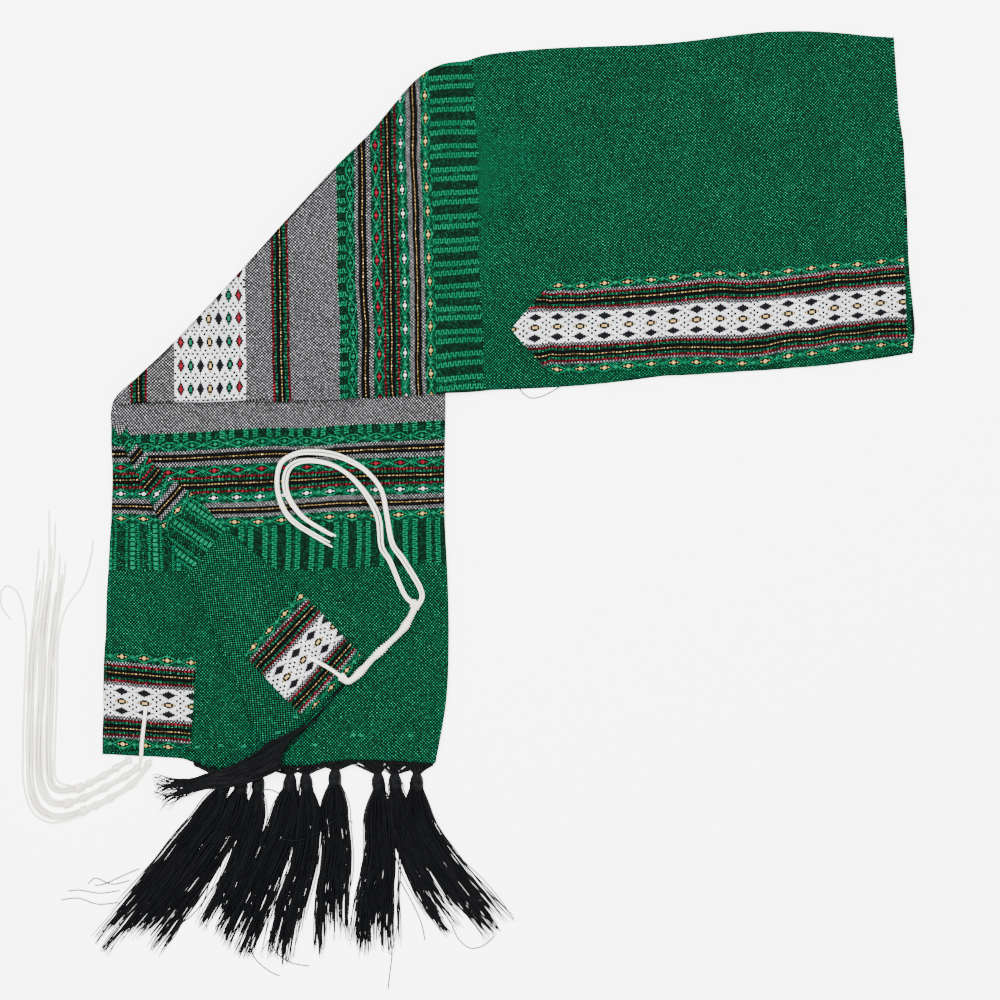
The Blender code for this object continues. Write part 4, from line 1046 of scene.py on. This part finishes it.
# %% The sheaf of the folded corner
SHEAF_ROOTS = (Vector((-109.0, -163.0, 7.6)), Vector((-151.0, -191.0, 7.6)))
SHEAF_START = 0.14       # shares of the way: where the threads join it
SHEAF_NECK = 0.72        # and where it is narrowest
SHEAF = [Vector(p) for p in (
    (-127.0, -178.5, 11.0), (-148.0, -195.0, 12.0), (-172.0, -206.0, 12.3), (-194.0, -210.5, 11.2),
    (-214.0, -216.0, 6.4), (-233.0, -220.0, 3.4))]


def sheaf_lines(count, seed):
    """Threads from all along the corner's end, gathered into one sheaf."""
    dice = random.Random(seed)
    path = smooth_path(SHEAF, 50)
    lines = []
    for number in range(count):
        root = number / (count - 1)
        start = SHEAF_ROOTS[0].lerp(SHEAF_ROOTS[1], root)
        start += Vector((0.0, 0.0, dice.uniform(-0.8, 0.8)))
        aside = (root - 0.5) * -1.5 + dice.uniform(-0.4, 0.4)
        level = dice.uniform(-1.0, 1.0)
        end = dice.uniform(0.50, 0.86) if number % 4 else dice.uniform(0.90, 1.05)
        phase = dice.uniform(0.0, 6.3)
        beat = dice.uniform(16.0, 34.0)
        swing = dice.uniform(-1.0, 1.0)
        line = [start]
        for step in range(1, 19):
            share = SHEAF_START + (end - SHEAF_START) * (step - 1) / 17
            spot, ahead = path_at(path, share)
            side = square_to(ahead)
            width = 12.5 - 8.5 * min(1.0, share / SHEAF_NECK)
            width += 26.0 * max(0.0, share - SHEAF_NECK)
            kink = (0.3 + 5.0 * max(0.0, share - 0.6)) * math.sin(beat * share + phase)
            place = spot + side * (aside * width + swing * 6.0 * share ** 4 + kink)
            line.append(Vector((place.x, place.y, max(0.7, spot.z + level * 2.2 * (1.1 - share)))))
        lines.append((line, [HAIR] * 17 + [HAIR * 0.9, HAIR * 0.5]))
    return lines


sheaf = above_floor(sheaf_lines(230, 77))
tassel_pieces["flap"] = lay_threads("threads_flap", sheaf, black_thread)

# %% [markdown]
# Between the cloth and the knots the warp ends cross and gather, which makes the dark scalloped
# net at the hem. Each thread starts at the cloth's edge and runs to the nearest knot, and one
# in four crosses over to the next.

# %% Hems
EDGE = [
    (-204.5, -197), (-198.7, -198.5), (-185.7, -201.9), (-172.7, -202.4), (-159.7, -201.9),
    (-146.7, -200.4), (-133.6, -198.9), (-120.6, -197.7), (-107.5, -196.2), (-94.5, -193.9),
    (-81.4, -193), (-68.4, -193.6), (-55.5, -194.3), (-42.5, -195.2), (-29.5, -196.1),
    (-18.5, -196.9),
]
GATHERS = [tassel.points[0] for tassel in TASSELS]


def edge_point(share):
    """A point on the cloth's end line."""
    spot = share * (len(EDGE) - 1)
    low = min(int(spot), len(EDGE) - 2)
    t = spot - low
    return Vector((EDGE[low][0] + (EDGE[low + 1][0] - EDGE[low][0]) * t,
                   EDGE[low][1] + (EDGE[low + 1][1] - EDGE[low][1]) * t, 0.0))


def hem_lines(count, seed):
    """Warp ends gathered from the hem to the knots."""
    dice = random.Random(seed)
    lines = []
    for number in range(count):
        start = edge_point(number / (count - 1))
        ranked = sorted(GATHERS, key=lambda g: abs(g[0] - start.x))
        knot = ranked[1 if number % 4 == 0 and abs(ranked[1][0] - start.x) < 30 else 0]
        height = dice.uniform(1.2, 4.4)
        goal = Vector((knot[0] + dice.uniform(-2.2, 2.2), knot[1] + 1.5,
                       4.5 + dice.uniform(-2.5, 2.5)))
        level = start + Vector((0.0, 1.6, height))
        out = start + Vector((0.0, -1.6, height))
        bend = out.lerp(goal, 0.5) + Vector((0.0, dice.uniform(-0.6, 1.6), dice.uniform(-0.5, 0.8)))
        line = smooth_path([level, out, bend, goal], 8)
        lines.append((line, [HAIR] * 8))
    return lines


def edge_line(offset, height, radius, wave):
    """A thread that runs along the hem."""
    points = []
    for step in range(121):
        spot = edge_point(step / 120)
        points.append(spot + Vector((0.0, -offset, height + wave * math.sin(step * 2.1))))
    return points, [radius] * 121


HEM_SPLIT = -135.5       # where the left part of the hem ends
gathered = hem_lines(560, 5)
edging = [edge_line(0.2 + 0.5 * k, 0.9 + 0.9 * k, 0.5, 0.25) for k in range(5)]
left_hem = [line for line in gathered if line[0][4].x < HEM_SPLIT]
right_hem = [line for line in gathered if line[0][4].x >= HEM_SPLIT] + edging
hem_left = lay_threads("hem_net_left", above_floor(left_hem), black_thread)
hem_right = lay_threads("hem_net_right", above_floor(right_hem), black_thread)
FLAP_EDGE = [(-72.0, -118.0), (-81.8, -128.6), (-94.3, -142.6), (-109.8, -161.1), (-143.8, -197.6)]
flap_lines = []
for k in range(4):
    drop = Vector((-0.3 * k, -0.5 * k - 0.2, 0.45 * k - 0.6))
    places = [Vector((x, y, 7.0)) + drop for x, y in FLAP_EDGE]
    flap_lines.append((smooth_path(places, 60), [0.45] * 60))
hem_flap = lay_threads("hem_net_corner", flap_lines, black_thread)

# %% [markdown]
# Each corner carries a set of wool strings, drawn through a hole, wound and knotted, and then
# left loose. The winding is a real helix round a core, with a fuller knot every few
# centimetres, and the loose strings lie in the loops in which they fell.

# %% Corner strings
Place = namedtuple("Place", "x y over")
ON_PATCH_LEFT = LEAF_BASE + PATCH
ON_PATCH_FLAP = FLAP_TOP + SEAM_GAP + PATCH
STRING = 0.92            # radius of one string
PITCH = 1.95


def places(height, *rows):
    """Places at one height."""
    return [Place(x, y, height) for x, y in rows]


FLAP_CORD = [
    Place(-114.7, -114.7, ON_PATCH_FLAP), Place(-105.5, -119.2, ON_PATCH_FLAP),
    Place(-97, -124.2, ON_PATCH_FLAP + 0.2), Place(-90, -129, ON_PATCH_FLAP + 0.6),
    Place(-83.6, -133, LEAF_TOP + 1.4),
] + places(LEAF_TOP, (-73.3, -124), (-66.3, -116.2), (-53, -103.7), (-42.1, -92.8),
           (-35.1, -81.1), (-32, -73.3))
FLAP_INNER = places(
    LEAF_TOP, (-33.7, -72.6), (-41, -65), (-51.5, -39.8), (-58.5, -28.1), (-60.8, -7),
    (-69.4, 10.1), (-81.9, 25), (-95.2, 34.3), (-108.4, 38.2), (-120.9, 38.2), (-130.3, 32.8),
    (-133.4, 21.8), (-130.3, 9.4), (-120.9, -3.9), (-108.4, -13.3), (-94.4, -21.1))
FLAP_OUTER = places(
    LEAF_TOP, (-29.4, -73.4), (-27.6, -63), (-41.3, -39), (-50, -25.7), (-54, -4),
    (-58.5, 15.6), (-70, 29.5), (-83.5, 38), (-95.9, 42.9), (-110, 45.2), (-125, 44.2),
    (-137, 36.8), (-139.8, 21.8), (-136.3, 5.5), (-125.5, -9.6), (-96, -27.6))
LEFT_CORDS = {
    "left_1": [
        Place(-241.8, -152.9, ON_PATCH_LEFT), Place(-243, -165, ON_PATCH_LEFT),
        Place(-244.8, -181, ON_PATCH_LEFT), Place(-245.4, -190, ON_PATCH_LEFT - 0.4),
        Place(-248, -199.4, 1)] + places(
            0, (-258, -207), (-274, -216), (-290, -223.9), (-303.5, -228.5)),
    "left_2": places(0, (-253.5, -193.7), (-266.8, -201.6), (-280.8, -210), (-294.5, -216.6)),
    "left_3": places(0, (-238, -193.9), (-250.8, -211.6), (-268.3, -223.4), (-280.5, -229.8),
                     (-291, -234.4)),
}
LEFT_STRINGS = {
    "left_1": places(
        0, (-304.6, -228.9), (-317, -227), (-324, -214), (-325.5, -194),
        (-325.3, -170), (-324.5, -148), (-323.7, -128.7), (-322.9, -105.3), (-321, -82),
        (-318.2, -58.5), (-316, -35.1), (-315.5, 0)),
    "left_2": places(
        0, (-295.4, -217), (-307.5, -218.6), (-314.6, -215.4), (-317.5, -207),
        (-318, -191), (-317.8, -168), (-317.2, -148.2), (-316.3, -128.7), (-315.5, -109.2),
        (-313.6, -89.7), (-310.9, -70.2), (-308.6, -52), (-307.5, -34)),
    "left_3": places(
        0, (-292, -234.8), (-303, -238.2), (-316.5, -238), (-327.5, -229.5),
        (-332.5, -212), (-333.3, -190), (-332.9, -168), (-332.2, -148), (-331.4, -126),
        (-330, -104), (-328, -80), (-325.5, -58), (-323.2, -30)),
}
STRAYS = {
    "left_2": [Place(-295.4, -215.1, 3.9), Place(-304, -214, 3.9), Place(-310.4, -211, 2.6),
               Place(-313, -203, 1)] + places(
        0, (-313.3, -190), (-313.1, -168), (-312.5, -148), (-311.7, -128),
        (-310.9, -109), (-308.5, -90), (-303, -74), (-292.5, -58.5), (-286.3, -39),
        (-283.9, -23.4)),
    "left_3": [Place(-292, -236.8, 3.9), Place(-303, -241.6, 3.9), Place(-318, -243.5, 2.5)]
    + places(0, (-331.5, -234.5), (-337.4, -213), (-338, -190), (-337.5, -148),
             (-336.5, -112), (-337, -86), (-341.5, -66), (-350, -58.5), (-355.8, -64),
             (-354.5, -76), (-347, -85)),
}


def route(rows, radius):
    """The middle line of a string that rests on what is under it."""
    result = []
    for place in rows:
        under = lower_relief(place.x, place.y) if place.over > 2.0 else 0.0
        result.append(Vector((place.x, place.y, place.over + under + SEAM_GAP + radius)))
    return result


def string_lines(rows, grid, ends, seed):
    """Strings side by side along one route."""
    dice = random.Random(seed)
    path = smooth_path(route(rows, STRING), 120)
    lines = []
    for number, (aside, up) in enumerate(grid):
        reach = ends[number % len(ends)]
        phase = dice.uniform(0.0, 6.3)
        line = []
        for step in range(64):
            share = reach * step / 63
            spot, ahead = path_at(path, share)
            side = square_to(ahead)
            wave = 0.55 * math.sin(14.0 * share + phase) * min(1.0, share * 6.0)
            lift = 0.3 * math.sin(9.0 * share + 2.0 * phase) if up else 0.0
            line.append(spot + side * (aside * PITCH + wave) + Vector((0, 0, up * 1.7 + abs(lift))))
        lines.append((line, [STRING] * 62 + [STRING * 0.95, STRING * 0.6]))
    return lines


def cord_lines(rows, thin_until, last_turns):
    """The wound cord: a core, the winding round it, and the knots."""
    path = smooth_path(route(rows, 0.0), 120)
    length = sum((b - a).length for a, b in zip(path, path[1:]))
    core = []
    wound = []
    sizes = []
    for step in range(120):
        share = step / 119
        spot, ahead = path_at(path, share)
        if share < thin_until:
            radius = 1.5
        else:
            run = (share - thin_until) / (1.0 - thin_until)
            radius = 1.75 + 0.95 * abs(math.cos(run * math.pi * 4.0)) ** 6
        core.append(spot + Vector((0.0, 0.0, radius + 0.4)))
        sizes.append(radius)
    turns = int(length * (1.0 - thin_until) / 1.5)
    for step in range(turns * 10):
        share = thin_until + (1.0 - thin_until) * step / (turns * 10 - 1)
        spot = share * 119
        low = min(int(spot), 118)
        centre = core[low].lerp(core[low + 1], spot - low)
        ahead = (core[low + 1] - core[low]).normalized()
        side = square_to(ahead)
        up = side.cross(ahead)
        angle = 2.0 * math.pi * step / 10
        reach = sizes[low] + 0.25
        wound.append(centre + (side * math.cos(angle) - up * math.sin(angle)) * reach)
    lines = [(core, sizes), (wound, [0.62] * len(wound))]
    end, ahead = core[-1], (core[-1] - core[-3]).normalized()
    side = square_to(ahead)
    for k in range(last_turns):
        ring = []
        for step in range(19):
            angle = 2.0 * math.pi * step / 18
            tilt = (k - last_turns / 2) * 1.1 + 0.9 * math.sin(angle + k)
            ring.append(end + ahead * tilt + (side * math.cos(angle)
                        + Vector((0, 0, 0.8)) * math.sin(angle)) * 3.1)
        lines.append((ring, [0.85] * 19))
    return lines


def grid(columns, rows, count):
    """Places in a bunch, as steps aside and up."""
    spots = [(c - (columns - 1) / 2, r) for r in range(rows) for c in range(columns)]
    return spots[:count]


string_pieces = {"flap": lay_threads(
    "strings_flap", above_floor(
        cord_lines(FLAP_CORD, 0.30, 5)
        + string_lines(FLAP_INNER, grid(2, 2, 4), (1.0, 0.985, 0.97, 0.95), 3)
        + string_lines(FLAP_OUTER, grid(2, 2, 4), (0.99, 1.0, 0.82, 0.96), 4)),
    ivory_wool, sides=7)}
for number, name in enumerate(LEFT_CORDS):
    lines = cord_lines(LEFT_CORDS[name], 0.5 if name == "left_1" else 0.05, 5)
    spots = grid(3, 3, 8)
    if name in STRAYS:
        spots = grid(3, 2, 6) + [(0.0, 2)]
        lines += string_lines(STRAYS[name], [(0.0, 0)], (1.0,), 50 + number)
    ends = (1.0, 0.93, 0.97, 0.86, 0.90, 0.80, 0.72, 0.84)
    lines += string_lines(LEFT_STRINGS[name], spots, ends, 40 + number)
    string_pieces[name] = lay_threads("strings_" + name, above_floor(lines), ivory_wool, sides=7)

# %% [markdown]
# A handwoven cloth sheds a few loose ends: a black loop at the neck edge and thin threads that
# cross between the tassels. They are placed one by one.

# %% Loose threads
STEP = 0.78              # the table below counts from the upper left in steps of this length
MIDDLE_COLUMN = 457.0
MIDDLE_ROW = 510.0


def at(column, row, height):
    """A place seen from above."""
    return Vector(((column - MIDDLE_COLUMN) * STEP, (MIDDLE_ROW - row) * STEP, height))


LOOSE = [
    [(519, 388, 3), (524, 394, 1), (531, 398, 0.6), (540, 397, 0.6), (551, 392, 1),
     (561, 386, 3)],
    [(253, 801, 1.2), (262, 791, 1), (270, 789.5, 1), (280, 793, 1.2), (291, 794, 3)],
    [(281, 838, 7), (300, 839, 8), (318, 832, 8), (333, 821, 8), (341, 817, 7)],
    [(344, 817, 5), (348, 820, 1), (353, 822.5, 0.8)],
    [(404, 805, 2), (411, 804, 0.8), (416, 807, 1)],
    [(404, 812, 2), (409, 808, 0.8), (412, 814, 0.8), (407, 817, 0.8), (404, 814, 2)],
    [(404, 819, 2), (411, 820, 0.7), (418, 819, 2)],
    [(348, 850, 2), (351, 857, 0.8), (349, 866, 0.8), (344, 872, 2)],
    [(388, 930, 2), (392, 950, 0.7), (390, 972, 0.7), (388, 989, 0.7)],
    [(452, 925, 1.5), (458, 938, 0.7), (470, 948, 0.7), (484, 945, 0.7), (495, 935, 1.5)],
    [(400, 880, 2), (412, 902, 0.8), (421, 922, 0.7), (425, 940, 0.7)],
    [(120, 890, 2.5), (100, 893, 0.8), (80, 890, 0.7), (68, 891, 0.7)],
    [(118, 902, 2.5), (98, 904, 0.8), (78, 898, 0.7), (61, 900, 0.7)],
    [(130, 880, 2.5), (112, 884, 0.8), (96, 878, 0.7), (88, 884, 0.7)],
    [(140, 868, 2.5), (122, 876, 0.8), (104, 884, 0.7), (94, 885, 0.7)],
    [(210, 880, 2.5), (204, 900, 0.8), (192, 915, 0.7), (183, 922, 0.7)],
    [(270, 930, 2.5), (275, 950, 0.8), (290, 962, 0.7), (310, 966, 0.7)],
    [(248, 940, 2.5), (255, 958, 0.8), (268, 970, 0.7), (280, 976, 0.7)],
]
loose_lines = []
for rows in LOOSE:
    line = smooth_path([at(*row) for row in rows], 26)
    loose_lines.append((line, [0.5] * 25 + [0.3]))
loose = lay_threads("loose_threads", above_floor(loose_lines), black_thread)

# %% [markdown]
# The neckband and the patches are sewn on with small running stitches just inside their edges.
# They are short arched threads, so the thread tree makes them too.

# %% Stitches
STITCH_EVERY = 4.0
STITCH_LENGTH = 2.2
STITCH_ARCH = 0.35
SEWING_THREAD = 0.16     # its radius


def stitch_lines(spans, share, ground):
    """Stitches along one edge of a sewn piece."""
    rows = [span_at(spans, p) for p in stations(spans, 2.0)]
    edge = [Vector((s.ax + (s.bx - s.ax) * share, s.ay + (s.by - s.ay) * share, 0.0)) for s in rows]
    total = sum((b - a).length for a, b in zip(edge, edge[1:]))
    lines = []
    for k in range(int(total / STITCH_EVERY)):
        line = []
        for t in (0.0, 0.25, 0.5, 0.75, 1.0):
            spot, _ahead = path_at(edge, (k * STITCH_EVERY + 0.8 + STITCH_LENGTH * t) / total)
            arch = STITCH_ARCH * math.sin(math.pi * t)
            line.append(Vector((spot.x, spot.y, ground(spot.x, spot.y) + PATCH + arch)))
        lines.append((line, [SEWING_THREAD] * 5))
    return lines


def sew(name, spans, inset, ground):
    """Stitches just inside both long edges of a sewn piece."""
    lines = stitch_lines(spans, inset, ground) + stitch_lines(spans, 1.0 - inset, ground)
    return lay_threads("stitches_" + name, lines, green_thread)


stitches = sew("neckband", BAND_SPANS, 0.015, on_arm)
left_stitches = sew("patch_left", PATCH_LEFT_SPANS, 0.02, under_left_patch)
flap_stitches = sew("patch_corner", PATCH_FLAP_SPANS, 0.02, on_corner)

# %% [markdown]
# Where the weaver began a new weft, its end shows as a short bright dash near the hem.

# %% Thread ends
on_stack = 3 * LAYER
THREAD_ENDS = [
    (-184.0, -183.3, on_stack), (-202.2, -184.6, on_stack), (-165.9, -184.0, on_stack),
    (-110.3, -182.7, LEAF_TOP), (-80.6, -175.0, LEAF_TOP), (-74.0, -175.4, LEAF_TOP),
    (-36.0, -175.5, LEAF_TOP), (-125.2, -160.7, FLAP_TOP), (-138.8, -173.0, FLAP_TOP),
]
end_lines = []
for x, y, top in THREAD_ENDS:
    top += (flap_ground if top == FLAP_TOP else lower_relief)(x, y) + SEAM_GAP
    for side in (-0.5, 0.5):
        line = [Vector((x + run, y + side, top + 0.4 * (1.0 - abs(run) / 2.0)))
                for run in (-1.8, -0.9, 0.0, 0.9, 1.8)]
        end_lines.append((line, [0.34] * 5))
thread_ends = lay_threads("thread_ends", end_lines, bright_thread)

# %% [markdown]
# The floor is plain and pale, with a large soft light above and a weaker one from the side, so
# that the folds throw faint shadows. The camera looks straight down from far off.

# %% Floor, light and camera
floor_data = bpy.data.meshes.new("floor")
floor_data.from_pydata([(-6, -6, 0), (6, -6, 0), (6, 6, 0), (-6, 6, 0)], [], [(0, 1, 2, 3)])
floor = put_in_scene("floor", floor_data)
pale, _, pale_shader = plain_finish("pale_floor", 0.9)
pale_shader.inputs["Base Color"].default_value = (0.94, 0.945, 0.955, 1.0)
pale_shader.inputs["Emission Color"].default_value = (1.0, 1.0, 1.0, 1.0)
pale_shader.inputs["Emission Strength"].default_value = 3.5
floor_data.materials.append(pale)


def soft_light(name, place, size, power):
    """A square area light that looks at the middle of the shawl."""
    data = bpy.data.lights.new(name, "AREA")
    data.size = size
    data.energy = power
    lamp = put_in_scene(name, data)
    lamp.location = place
    lamp.rotation_euler = (-Vector(place)).to_track_quat("-Z", "Y").to_euler()


soft_light("overhead", (-0.5, 0.7, 2.6), 1.6, 200.0)
soft_light("side", (2.2, 0.4, 1.6), 1.2, 36.0)
world = bpy.data.worlds.new("studio")
world.use_nodes = True
world.node_tree.nodes["Background"].inputs["Color"].default_value = (1.0, 1.0, 1.0, 1.0)
world.node_tree.nodes["Background"].inputs["Strength"].default_value = 1.8
bpy.context.scene.world = world

LENS = 100.0
SENSOR = 36.0
VIEW_WIDTH = 0.78        # metres of floor across the picture
VIEW_MIDDLE = (0.03354, 0.0078)
camera_data = bpy.data.cameras.new("camera")
camera_data.lens = LENS
camera_data.sensor_width = SENSOR
camera = put_in_scene("camera", camera_data)
camera.location = (*VIEW_MIDDLE, VIEW_WIDTH * LENS / SENSOR)
bpy.context.scene.camera = camera
print("camera", round(camera.location.z, 3), "m above the floor")

# %% [markdown]
# Last, each piece is hung from one root body, and the solid of the imported model that it
# stands for is hidden.

# %% Ties to the frame
TIES = [
    (arm, "shawl_upper_arm", "green_cloth"), (stack, "shawl_lower_layers", "green_cloth"),
    (leaf, "shawl_lower_leaf", "green_cloth"), (flap, "shawl_corner_flap", "green_cloth"),
    (band, "neckband", "band_cloth"), (patch_left, "corner_patch_left", "band_cloth"),
    (patch_flap, "corner_patch_flap", "band_cloth"), (hem_left, "hem_left", "black_thread"),
    (hem_right, "hem_right", "black_thread"), (hem_flap, "hem_flap", "black_thread"),
]
TIES += [(piece, "fringe_tassel_" + name, "black_thread") for name, piece in tassel_pieces.items()]
TIES += [(piece, "corner_strings_" + name, "ivory_string") for name, piece in string_pieces.items()]
for piece, node, finish in TIES:
    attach(piece, "root")
    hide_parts(node)
for piece, finish in ((loose, "black_thread"), (stitches, "green_cloth"),
                      (thread_ends, "green_cloth"),
                      (left_stitches, "green_cloth"), (flap_stitches, "green_cloth")):
    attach(piece, "root")
